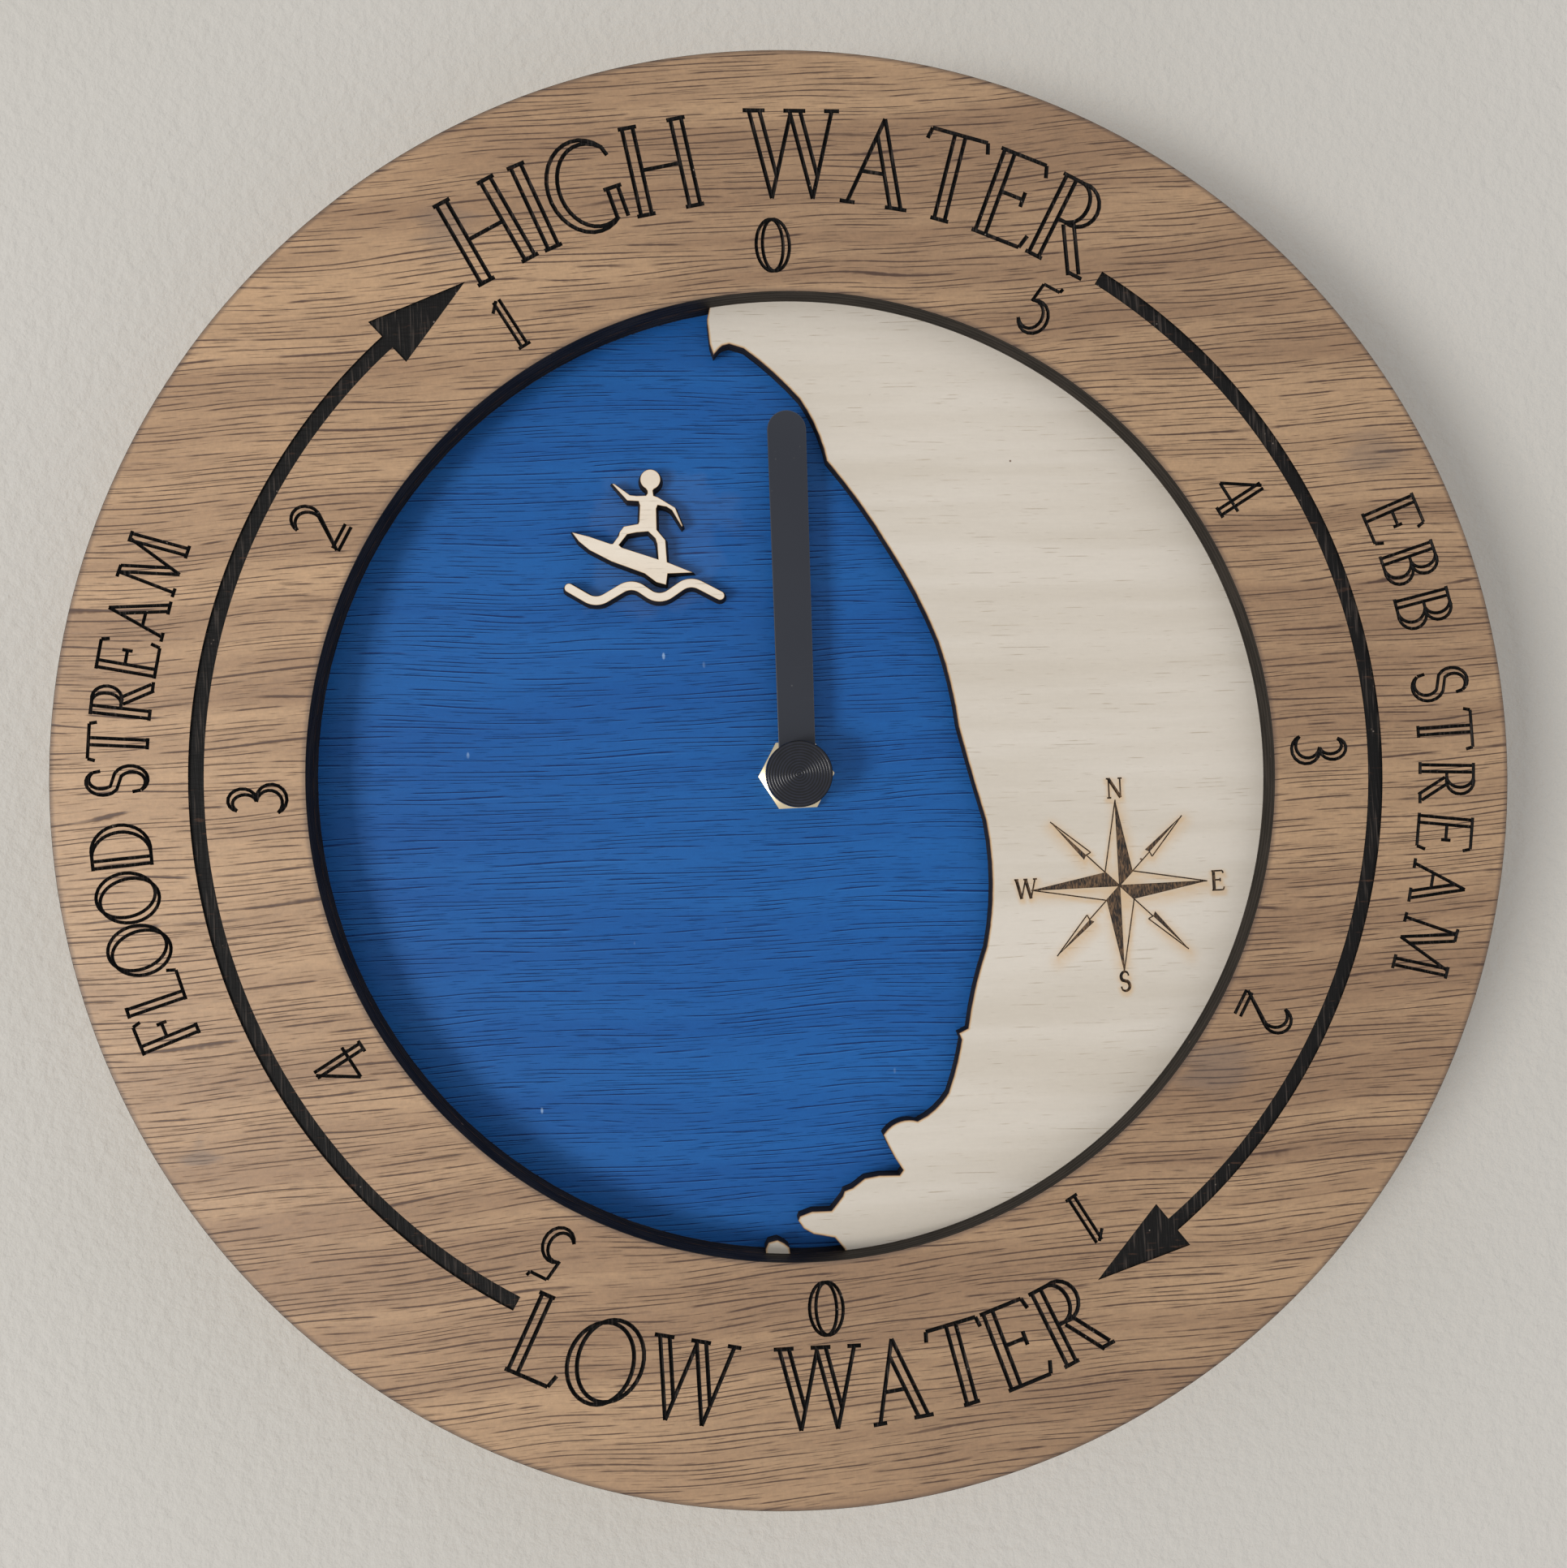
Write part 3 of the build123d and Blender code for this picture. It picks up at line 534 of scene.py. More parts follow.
def wood_grain():
    """Grain of sliced veneer along X: long thin dark lines, finer ones between them, and soft bands. The Glint
    output is a painted highlight: a pale line beside each dark line.
    """
    inputs = {
        "Light": colour(205, 170, 130),
        "Dark": colour(165, 130, 100),
        "Line": colour(90, 60, 45),
        "Turn": 0.04,
        "Waviness": 0.003,
        "Line Pitch": 0.0013,
        "Line Width": 0.12,
        "Line Length": 0.02,
        "Line Share": 0.5,
        "Fibre": 0.5,
        "Seed": 0.0,
    }
    outputs = {"Colour": "Color", "Lines": "Float", "Glint": "Float", "Height": "Float"}
    given, place, output = new_group("wood_grain", inputs, outputs)
    place = place.node("VectorRotate", {"Vector": place, "Angle": given["Turn"]}, rotation_type="Y_AXIS")
    along, _, height = place.apart()
    seed, length, pitch = given["Seed"], given["Line Length"], given["Line Pitch"]

    def field(long, wide, detail=1.0, layer=0.0, across=height):
        """Noise whose features are stretched along the grain, sizes in metres."""
        return place.together(along / long, seed + layer, across / wide).cloud(1.0, detail)

    sway = field(0.045, 0.06) - 0.5
    swell = field(0.16, 0.11, 2.0, 4.4) - 0.5
    across = height + (sway + swell * 3.6) * given["Waviness"]

    def line_set(pitch, layer, length, share):
        """Thin lines side by side. Each has its own breaks, and their spacing drifts. It gives the lines and a
        painted highlight beside them.
        """
        turned = across / pitch + field(0.055, 0.0042, 1.0, layer, across) * 3.4
        offset = turned.math("FRACT", turned) - 0.5
        run = along / length
        lane = turned.math("FLOOR", turned) * 7.31
        life = place.together(run, lane, seed + layer).cloud(1.0, 2.0)
        limit = 0.66 - share * 0.3
        strength = life.band(limit, limit + 0.16)
        rough = place.together(run * 9.0, lane, layer).cloud(1.0, 1.0)
        wide = given["Line Width"] * (rough + 0.55)
        line = abs(offset).band(wide, wide * 0.3)
        # painted highlight: a pale line just beside each dark line, as if the groove's edge caught the light
        lit_side = abs(offset + 0.2).band(wide, 0.0)
        return line * strength, lit_side * strength

    main, glint = line_set(pitch, 1.7, length, given["Line Share"])
    fine, _ = line_set(pitch * 0.53, 6.1, length * 0.45, given["Line Share"] * 0.7)
    lines = main.largest(fine * 0.6)
    bands = field(0.09, 0.006, 3.0, 7.7, across)
    patches = field(0.12, 0.035, 2.0, 9.2, across)
    fibres = field(0.0035, 0.0004, 2.0, 5.3, across)
    base = (bands * 0.6 + patches * 0.4).band(0.36, 0.64).blend(given["Dark"], given["Light"])
    mottle = place.cloud(1300.0, 3.0, 0.7)
    fleck = (fibres + mottle - 1.0) * given["Fibre"]
    stained = lines.blend(base.lit(fleck + 1.0), given["Line"])
    feed(output, {"Colour": stained, "Lines": lines, "Glint": glint, "Height": fibres * 0.25 - lines})


def fine_wear():
    """Small scratches, dust and a slow change of tone for paint, plastic and metal."""
    outputs = dict.fromkeys(("Scratches", "Dust", "Tone", "Grit"), "Float")
    given, place, output = new_group("fine_wear", {"Scale": 1.0, "Seed": 0.0}, outputs)
    seed = given["Seed"]
    moved = place.node("VectorMath", {0: place, 1: place.together(seed, seed, seed)}, operation="ADD")
    scaled = place.node("VectorMath", {0: moved, "Scale": given["Scale"]}, operation="SCALE")
    scratches = scaled.stretched(90, 90, 900, turn=24).cloud(1.0, 1.0, distortion=0.6).band(0.68, 0.74)
    dust = scaled.specks(620.0).band(0.15, 0.07) * scaled.cloud(75.0, 1.0).band(0.62, 0.74)
    tone, grit = scaled.cloud(22.0, 3.0), scaled.cloud(2600.0, 2.0)
    feed(output, {"Scratches": scratches, "Dust": dust, "Tone": tone, "Grit": grit})


GROUPS = {"wood_grain": wood_grain, "fine_wear": fine_wear}


def spaced(values):
    """Inputs of a node from keywords: Base_Color is Base Color."""
    return {name.replace("_", " "): value for name, value in values.items()}


class Finish:
    """A material with one principled shader, its plain values set on the shader's own sockets."""

    def __init__(self, name, **plain):
        self.material = bpy.data.materials.new(name)
        self.material.use_nodes = True
        self.tree = self.material.node_tree
        self.tree.nodes.clear()
        self.shader = add(self.tree, "BsdfPrincipled", spaced(plain))
        self.surface = Wire(self.tree, self.shader.outputs[0])
        self.output = add(self.tree, "OutputMaterial", {"Surface": self.surface})
        self.output.is_active_output = True

    @property
    def place(self):
        return object_place(self.tree)

    def group(self, name, values):
        """Puts a shared node group in with its own values, and gives its outputs by name."""
        if name not in bpy.data.node_groups:
            GROUPS[name]()
        made = self.tree.nodes.new("ShaderNodeGroup")
        made.node_tree = bpy.data.node_groups[name]
        feed(made, values)
        return {socket.name: Wire(self.tree, socket) for socket in made.outputs}

    def grain(self, light, dark, line, turn, **values):
        """The shared wood grain, turned in degrees, its sizes in metres."""
        inputs = {"Light": light, "Dark": dark, "Line": line, "Turn": math.radians(turn)}
        return self.group("wood_grain", inputs | spaced(values))

    def done(self, height, depth, **wires):
        """Wires the shader up and gives it a relief of this depth, in metres."""
        wires["Normal"] = height.node("Bump", {"Height": height, "Distance": depth})
        feed(self.shader, spaced(wires))
        return self.material


def oak(name):
    """Sliced oak, browned along both rims and with a few grey patches, and painted lighter towards the left as
    a painted sheen of the window light.
    """
    finish = Finish(name, Coat_Roughness=0.45, Specular_IOR_Level=0.7)
    grain = finish.grain(
        setting("oak_light"), setting("oak_dark"), setting("oak_line"), 2.2, Waviness=0.003,
        Line_Pitch=0.00116, Line_Width=0.13, Line_Length=0.013, Line_Share=0.86, Fibre=0.42, Seed=0.0,
    )
    place = finish.place
    rough = place.stretched(30, 30, 260).cloud(1.0, 3.0)
    from_axis = place.reach()
    inner = from_axis.band(RING_BORE + 0.0012, RING_BORE + 0.0001)
    outer = from_axis.band(CLOCK_RADIUS - 0.0011, CLOCK_RADIUS - 0.0002)
    # painted sheen: the colour is up to a fifth lighter towards the left, where the window light glances off
    # the varnish
    painted = grain["Colour"].lit(place.apart()[0].band(0.03, -0.135, 1.0, 1.2))
    patches = ((-62.3, 106.3, 7, 0.3), (116.1, 56.7, 8, 0.34), (78.2, -61.4, 9, 0.4), (-115.3, -63.1, 3.5, 0.5))
    for x, z, wide, strength in patches:
        ragged = place.reach(x * MM, z * MM) + (rough - 0.5) * 0.016
        patch = ragged.band(wide * MM, wide * MM * 0.2, 0.0, strength)
        painted = patch.blend(painted, colour(95, 82, 76))
    return finish.done(
        grain["Height"], 0.00008, Base_Color=(inner.largest(outer) * 0.55).blend(painted, colour(60, 40, 30)),
        Roughness=rough * 0.22 + 0.36, Coat_Weight=grain["Lines"].band(0.0, 1.0, 0.4, 0.05),
    )


def char(name):
    """Laser-burnt wood: near black, with the run of the burnt fibres and brown and grey flecks."""
    finish = Finish(name, Roughness=0.62, Specular_IOR_Level=0.18)
    place = finish.place
    fibres = place.stretched(260, 900, 1500).cloud(1.0, 2.0)
    runs = place.stretched(2600, 500, 130, turn=8).cloud(1.0, 2.0)
    body = (fibres.band(0.62, 0.78) * 0.5).blend(setting("char"), colour(88, 62, 48))
    lifted = (runs.band(0.54, 0.72) * 0.38).blend(body, colour(92, 82, 76))
    chip = place.specks(760.0).band(0.16, 0.07) * place.cloud(160.0, 1.0).band(0.56, 0.66)
    return finish.done(fibres + runs, 0.00018, Base_Color=chip.blend(lifted, colour(134, 122, 112)))


def burnt_edge(name):
    """Burnt cut edge of a board: dark, with its plies showing as faint bands."""
    finish = Finish(name, Roughness=0.6, Specular_IOR_Level=0.16)
    place = finish.place
    layers = place.apart()[1] * 4500.0
    soot = place.stretched(120, 500, 120).cloud(1.0, 3.0)
    tone = layers.math("SINE", layers) * 0.12 + soot
    body = tone.band(0.35, 0.7).blend(colour(26, 22, 18), colour(47, 41, 36))
    chip = place.specks(330.0).band(0.14, 0.05) * place.cloud(60.0, 1.0).band(0.6, 0.7)
    return finish.done(tone, 0.0002, Base_Color=chip.blend(body, colour(120, 100, 86)))


def burnt_brown(name):
    """Shallow burnt drawing on ply: brown hatching with darker edges."""
    finish = Finish(name, Roughness=0.7)
    place = finish.place
    hatch = place.stretched(3400, 900, 800, turn=38).cloud(1.0, 2.0, distortion=0.8)
    tone = hatch * 0.7 + place.cloud(380.0, 2.0) * 0.3
    body = tone.band(0.4, 0.66).blend(colour(28, 20, 15), colour(118, 90, 63))
    return finish.done(hatch, 0.0001, Base_Color=body)


def birch(name, light, dark):
    """Pale ply, browned where the scorch attribute of the mesh says that the laser passed near."""
    finish = Finish(name, Roughness=0.6)
    grain = finish.grain(
        setting(light), setting(dark), colour(184, 171, 152), -1.0, Waviness=0.001,
        Line_Pitch=0.0008, Line_Width=0.1, Line_Length=0.007, Line_Share=0.3, Fibre=0.07, Seed=4.0,
    )
    place = finish.place
    burn = place.node("Attribute", {}, "Fac", attribute_name="scorch")
    ragged = (place.stretched(240, 240, 700).cloud(1.0, 3.0) - 0.5) * 0.5
    felt = burn + ragged * burn
    tan = felt.band(0.04, 0.5, 0.0, 0.8).blend(grain["Colour"], colour(200, 164, 116))
    brown = felt.band(0.5, 0.95).blend(tan, colour(92, 60, 40))
    speck = place.specks(190.0).band(0.06, 0.03) * place.cloud(90.0, 0.0).band(0.6, 0.66)
    return finish.done(grain["Height"], 0.00004, Base_Color=speck.blend(brown, colour(105, 82, 66)))


def blue_paint(name):
    """Thin blue paint on ply: the grain shows as darker dashes with a painted highlight beside each, with pale
    flecks and one glossy smear.
    """
    finish = Finish(name, Coat_Roughness=0.2, Specular_IOR_Level=0.27)
    grain = finish.grain(
        setting("sea_light"), setting("sea_dark"), setting("sea_line"), -0.6, Waviness=0.0022,
        Line_Pitch=0.0009, Line_Width=0.11, Line_Length=0.013, Line_Share=0.8, Fibre=0.17, Seed=11.0,
    )
    place = finish.place
    flecks = place.stretched(1, 1, 0.45, turn=35).specks(260.0).band(0.1, 0.04)
    rare = place.cloud(70.0, 1.0).band(0.62, 0.7, 0.0, 0.8)
    # painted highlight: a paler blue along one side of each grain dash, standing in for light on the groove's
    # edge
    painted_glint_colour = (grain["Glint"] * 0.35).blend(grain["Colour"], colour(58, 128, 200))
    smear = place.reach(-24.5 * MM, 47 * MM) + place.cloud(110.0, 3.0) * 0.03
    patchy = place.stretched(40, 40, 240).cloud(1.0, 3.0)
    return finish.done(
        grain["Height"], 0.0001, Base_Color=(flecks * rare).blend(painted_glint_colour, colour(150, 180, 215)),
        Roughness=patchy * 0.25 + 0.34, Coat_Weight=smear.band(0.031, 0.026) * 0.5,
    )


def bare_back(name):
    """Bare rear face of the ply, with a little smoke stain towards its cut edge."""
    finish = Finish(name, Roughness=0.65)
    grain = finish.grain(
        colour(214, 186, 148), colour(190, 158, 120), colour(140, 106, 78), 1.2, Waviness=0.003,
        Line_Pitch=0.0014, Line_Width=0.1, Line_Length=0.012, Line_Share=0.45, Fibre=0.14, Seed=19.0,
    )
    place = finish.place
    uneven = place.reach() + place.cloud(55.0, 3.0) * 0.006
    stain = uneven.band(CLOCK_RADIUS - 0.003, CLOCK_RADIUS + 0.0035, 0.0, 0.75)
    return finish.done(grain["Height"], 0.0001, Base_Color=stain.blend(grain["Colour"], colour(94, 62, 42)))


def coated(name, body, worn, roughness, seed, grit, specular=0.5):
    """A plain moulded or painted surface with dust, faint scratches and fine grit of this depth."""
    finish = Finish(name, Specular_IOR_Level=specular)
    wear = finish.group("fine_wear", {"Scale": 1.0, "Seed": seed})
    toned = wear["Tone"].band(0.3, 0.7, 0.0, 0.6).blend(colour(*body), colour(*worn))
    marked = (wear["Scratches"] * 0.25).blend(toned, colour(*worn))
    return finish.done(
        wear["Grit"], grit, Base_Color=(wear["Dust"] * 0.3).blend(marked, colour(170, 168, 164)),
        Roughness=wear["Tone"] * 0.16 + (roughness - 0.08) + wear["Dust"] * 0.2,
    )


def metal(name, body, worn, roughness, lines, seed, depth=0.000008):
    """Bare or plated metal with fine drawn lines and slightly tarnished patches."""
    finish = Finish(name, Metallic=1.0)
    drawn = finish.place.stretched(*lines).cloud(1.0, 2.0)
    wear = finish.group("fine_wear", {"Scale": 1.4, "Seed": seed})
    toned = wear["Tone"].band(0.4, 0.7, 0.0, 0.7).blend(colour(*body), colour(*worn))
    painted = (drawn * 0.2).blend(toned, colour(*worn))
    return finish.done(drawn, depth, Base_Color=painted, Roughness=drawn * 0.18 + (roughness - 0.06))


def turned_black(name):
    """Black turned plastic with fine rings, each ring painted lighter as a painted reflection of the light on
    the turned grooves.
    """
    finish = Finish(name, Roughness=0.22, Specular_IOR_Level=0.42)
    place = finish.place
    turned = place.reach() * (math.tau / bpy.context.scene.clock_sizes.cap_ring_pitch)
    rings = turned.math("COSINE", turned)
    # painted reflection: the colour is lighter on each ring, standing in for the light that the turned grooves
    # catch
    tone = (rings * 0.5 + place.cloud(900.0, 2.0)).band(0.1, 1.1)
    return finish.done(rings, 0.000003, Base_Color=tone.blend(colour(5, 6, 13), colour(30, 33, 46)))


def jacket(name):
    """Printed film on the cell: grey, with a pale band at the nub's end and one thin line beside it."""
    finish = Finish(name, Metallic=0.3, Coat_Weight=0.4, Coat_Roughness=0.12)
    along = finish.place.apart()[0]
    wear = finish.group("fine_wear", {"Scale": 1.0, "Seed": 17.0})
    body = wear["Tone"].band(0.3, 0.7, 0.0, 0.5).blend(colour(82, 90, 98), colour(96, 104, 112))
    line = abs(along + 0.0146).band(0.0005, 0.0004)
    printed = along.band(-0.0158, -0.0159).largest(line).blend(body, colour(206, 204, 196))
    marked = (wear["Scratches"] * 0.2).blend(printed, colour(150, 150, 150))
    return finish.done(wear["Grit"], 0.000004, Base_Color=marked, Roughness=wear["Tone"] * 0.15 + 0.26)


def copper_wire(name):
    """Fine enamelled wire, wound round the coil's upright axis."""
    finish = Finish(name, Metallic=0.8, Coat_Weight=0.4)
    place = finish.place
    turns = place.apart()[2] * 52000.0
    tone = place.stretched(60, 60, 900).cloud(1.0, 2.0)
    painted = tone.blend(colour(168, 92, 50), colour(200, 120, 70))
    return finish.done(turns.math("SINE", turns), 0.00003, Base_Color=painted, Roughness=tone * 0.2 + 0.25)


def wall_paint(name):
    """Rolled wall paint. It is clear from behind and to shadow rays, so that the back shows lit."""
    finish = Finish(name, Roughness=0.85)
    place = finish.place
    tone = setting("wall")
    darker = (tone[0] * 0.95, tone[1] * 0.95, tone[2] * 0.94, 1)
    painted = place.cloud(7.0, 2.0).band(0.3, 0.7).blend(tone, darker)
    behind = place.node("NewGeometry", {}, "Backfacing")
    share = behind.largest(place.node("LightPath", {}, "Is Shadow Ray"))
    clear = place.node("BsdfTransparent", {})
    feed(finish.output, {"Surface": place.node("MixShader", {0: share, 1: finish.surface, 2: clear})})
    return finish.done(place.cloud(330.0, 4.0, 0.6), 0.0006, Base_Color=painted)


FINISHES = {
    "oak_veneer": oak,
    "charred_wood": char,
    "charred_edge": burnt_edge,
    "burnt_brown": burnt_brown,
    "birch_ply": lambda name: birch(name, "birch_light", "birch_dark"),
    "cutout_birch": lambda name: birch(name, "cutout_light", "cutout_dark"),
    "blue_painted_ply": blue_paint,
    "bare_ply_back": bare_back,
    "turned_black": turned_black,
    "battery_jacket": jacket,
    "copper_wire": copper_wire,
}

# Fresh and worn colour, roughness, seed, depth of the grit and, where it isn't 0.5, the specular level.
COATED = {
    "black_enamel": ((40, 43, 52), (47, 50, 58), 0.46, 3.0, 0.000006, 0.35),
    # Lighter and glossier than the hand's body: a painted highlight on the hand's softened edges, where they
    # catch the light.
    "edge_highlight_enamel": ((52, 55, 64), (84, 88, 98), 0.2, 3.0, 0.000004),
    "black_plastic": ((30, 30, 33), (40, 40, 43), 0.38, 5.0, 0.000006),
    "black_case_plastic": ((34, 34, 36), (44, 44, 46), 0.6, 7.0, 0.00003),
    "pale_plastic": ((226, 222, 208), (212, 206, 190), 0.42, 9.0, 0.000008),
    "black_rubber": ((32, 32, 32), (46, 46, 45), 0.75, 13.0, 0.00003),
    "circuit_laminate": ((152, 112, 70), (136, 96, 58), 0.5, 15.0, 0.00001),
}

# Fresh and tarnished colour, roughness, stretch of the drawn lines, seed and, for brass, the lines' depth.
METALS = {
    "brass": ((230, 215, 182), (208, 188, 148), 0.26, (260, 260, 260), 1.0, 0.0000015),
    "nickel_strip": ((210, 208, 202), (186, 184, 178), 0.3, (200, 200, 1800), 5.0),
    "zinc_plated_steel": ((206, 208, 212), (176, 178, 184), 0.36, (2200, 200, 200), 2.0),
    "stator_steel": ((158, 158, 162), (128, 128, 134), 0.4, (200, 200, 2000), 3.0),
    "nickel_can": ((206, 204, 198), (178, 176, 170), 0.24, (600, 200, 200), 4.0),
}


def look(name):
    """The finish of this name, built once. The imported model's own plain ones are passed over."""
    label = name + ".look"
    if label in bpy.data.materials:
        return bpy.data.materials[label]
    if name in COATED:
        return coated(label, *COATED[name])
    if name in METALS:
        return metal(label, *METALS[name])
    return FINISHES[name](label)


# Settings


def length(name, description, default):
    """A size setting in metres."""
    return bpy.props.FloatProperty(name=name, description=description, default=default, unit="LENGTH")


def tint(name, description, *screen):
    """A colour setting whose default is given as a screen shows it."""
    default = colour(*screen)[:3]
    return bpy.props.FloatVectorProperty(
        name=name, description=description, subtype="COLOR", size=3, min=0, max=1, default=default
    )


class ClockSizes(bpy.types.PropertyGroup):
    line_width: length("Line width", "Width of a line of the small lettering", 0.00066)
    line_depth: length("Line depth", "Depth of the lettering in the ring", 0.0006)
    inline_share: bpy.props.FloatProperty(
        name="Inline share",
        description="Gap between the two lines of a thick stroke, in letter heights",
        default=0.122,
    )
    word_height: length("Word height", "Height of the capitals at the top and bottom", 0.0171)
    side_word_height: length("Side word height", "Height of the capitals at the sides", 0.0108)
    figure_height: length("Figure height", "Height of the hour figures", 0.0100)
    figure_radius: length("Figure radius", "Distance of the hour figures' middle from the axis", 0.102)
    arrow_radius: length("Arrow radius", "Radius of the two curved arrows", 0.1132)
    arrow_width: length("Arrow width", "Width of the arrows' grooves", 0.0029)
    groove_depth: length("Groove depth", "Depth of the arrows' grooves", 0.00045)
    compass_across: length("Compass across", "Place of the compass to the right of the axis", 0.0627)
    compass_height: length("Compass height", "Place of the compass above the axis", -0.025)
    compass_reach: length("Compass reach", "Length of the compass's four long points", 0.0170)
    cap_ring_pitch: length("Cap ring pitch", "Distance between the rings turned on the cap", 0.00054)
    cap_ring_depth: length("Cap ring depth", "Depth of the rings turned on the cap", 0.0001)


class ClockColours(bpy.types.PropertyGroup):
    oak_light: tint("Ring wood", "Light bands of the ring's veneer", 167, 134, 100)
    oak_dark: tint("Ring wood, dark", "Dark bands of the ring's veneer", 138, 106, 76)
    oak_line: tint("Ring grain", "Open pores of the ring's veneer", 70, 43, 25)
    char: tint("Burnt wood", "Burnt lines and grooves", 15, 14, 14)
    birch_light: tint("Land wood", "Light bands of the land's ply", 210, 202, 191)
    birch_dark: tint("Land wood, dark", "Dark bands of the land's ply", 200, 191, 178)
    cutout_light: tint("Cut-out wood", "Light bands of the surfer's and wave's ply", 229, 218, 203)
    cutout_dark: tint("Cut-out wood, dark", "Dark bands of the surfer's and wave's ply", 222, 209, 192)
    sea_light: tint("Sea paint", "Light bands of the sea's paint", 20, 90, 160)
    sea_dark: tint("Sea paint, dark", "Dark bands of the sea's paint", 12, 80, 150)
    sea_line: tint("Sea grain", "Grain lines in the sea's paint", 3, 36, 92)
    wall: tint("Wall", "Painted wall behind the clock", 201, 198, 193)


# Pieces


def cut_arrows(cutter, sizes):
    """Adds the two curved arrows. Their tail, neck and tip are given as angles in degrees."""
    near, far = FACE - MM, FACE + sizes.groove_depth
    radius = sizes.arrow_radius
    for tail, neck, tip in ((239, 130.5, 121.4), (56, -53.5, -62.3)):
        swept_slot(cutter, radius, sizes.arrow_width, neck, tail, near, far)
        barb, point = math.radians(neck + 0.4), math.radians(tip)
        places = ((radius - 5.2 * MM, barb), (radius + 5.2 * MM, barb), (radius, point))
        prism(cutter, [(away * math.cos(turn), away * math.sin(turn)) for away, turn in places], near, far)


class CLOCK_OT_dial_ring(bpy.types.Operator):
    """Make the ring with its words, hour figures and curved arrows"""

    bl_idname = "clock.dial_ring"
    bl_label = "Dial ring"

    def execute(self, context):
        sizes = context.scene.clock_sizes
        gap, tall, side = sizes.inline_share, sizes.word_height, sizes.side_word_height
        words = word_strokes("HIGH WATER", 0.111, 89.1, tall, gap, 0.06, slim=0.96)
        words += word_strokes("LOW WATER", 0.1248, -91.6, tall * 0.91, gap, 0.06, outward=False, slim=0.94)
        strokes = word_strokes("FLOOD STREAM", 0.1222, 178.7, side, gap, 0.08, slim=0.9)
        strokes += word_strokes("EBB STREAM", 0.1222, 0.6, side, gap, 0.2)
        foot = sizes.figure_radius - sizes.figure_height / 2
        for half in (0, 1):
            for hour in range(6):
                angle = 90 - 180 * half - 30 * ((6 - hour) % 6)
                strokes += word_strokes(str(hour), foot, angle, sizes.figure_height, gap, 0)
        cutter = stroke_cutter(words, sizes.line_width * 1.22, sizes.line_depth, FACE)
        joined(cutter, stroke_cutter(strokes, sizes.line_width, sizes.line_depth, FACE))
        cut_arrows(cutter, sizes)
        rim = 0.0001
        front = [(RING_BORE, FACE + rim), (RING_BORE + rim, FACE), (CLOCK_RADIUS - rim, FACE)]
        sides = [(CLOCK_RADIUS, FACE + rim), (CLOCK_RADIUS, RING_BACK), (RING_BORE, RING_BACK), front[0]]
        shape = lathe(front + sides, steps=240)
        middle, half_width = 0.1165, 0.0232
        for face in shape.faces:
            place = face.calc_center_median()
            outside = abs(math.hypot(place.x, place.z) - middle) > half_width
            face.material_index = 2 if outside else 0
        finishes = ("oak_veneer", "charred_wood", "charred_edge")
        piece = new_piece("dial_ring", shape, "root", "oak_veneer", *finishes)
        carve(piece, cutter)
        refine(piece)
        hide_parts("face_ring")
        return {"FINISHED"}


def compass_shapes(sizes):
    """Filled halves of the compass points, and its thin lines, about the compass's middle.

    The places are shares of the compass's reach.
    """
    reach = sizes.compass_reach
    corner = reach * 0.163
    centre = Vector((0, 0))
    filled, lines = [], []
    for number in range(4):
        turn = Matrix.Rotation(-math.pi / 2 * number, 2)
        tip = turn @ Vector((0, reach * (1.0 if number % 2 == 0 else 1.04)))
        right, left = turn @ Vector((corner, corner)), turn @ Vector((-corner, corner))
        filled.append([centre, right, tip])
        lines += [[tip, left], [left, centre], [centre, tip]]
        heading = Matrix.Rotation(-math.pi / 2 * number - math.pi / 4, 2)
        start = heading @ Vector((0, corner * math.sqrt(2)))
        places = ((0, reach * 0.53), (-reach * 0.058, reach * 0.51), (0, reach * 1.1))
        dart = [heading @ Vector(place) for place in places]
        other = heading @ Vector((reach * 0.058, reach * 0.51))
        filled.append(dart)
        lines += [[start, dart[0]], [dart[0], other], [other, dart[2]]]
    return filled, lines


def compass_letters(sizes):
    """Strokes and their widths for the four letters round the compass."""
    hair_width, stem_width, bowl_swell = 1.25, 2.5, 1.2
    plans = letter_plans(sizes.inline_share)
    plans["N"] = 0.88, [hair((0.14, 0), (0.14, 1)), stem((0.14, 1), (0.74, 0)), hair((0.74, 0), (0.74, 1))]
    plans["W"] = 1.2, [hair((0.36, 0), (0.6, 1)), hair((0.85, 0), (1.1, 1))]
    plans["W"][1].extend(stem((across, 1), (foot, 0)) for across, foot in ((0.12, 0.36), (0.6, 0.85)))
    plans["N"][1].extend(serif(across, end) for across, end in ((0.12, 1), (0.14, 0), (0.74, 1)))
    plans["W"][1].extend(serif(across, 1) for across in (0.12, 0.6, 1.1))
    height = 0.0038
    strokes, widths = [], []
    for letter, x, z in (("N", 0, 19.3), ("E", 19.8, 0), ("S", 0.1, -18.9), ("W", -18.75, 0.3)):
        width, plan = plans[letter]
        for kind, points in plan:
            line = [
                Vector((x * MM + (px - width / 2) * height, z * MM + (py - 0.5) * height)) for px, py in points
            ]
            last = len(line) - 1
            if kind == "bowl":
                strokes.append(line)
                widths.append([1.4 + bowl_swell * math.sin(math.pi * n / last) for n in range(len(line))])
                continue
            for pair in zip(line, line[1:]):
                strokes.append(list(pair))
                widths.append([hair_width if kind == "hair" else stem_width] * 2)
    return strokes, widths


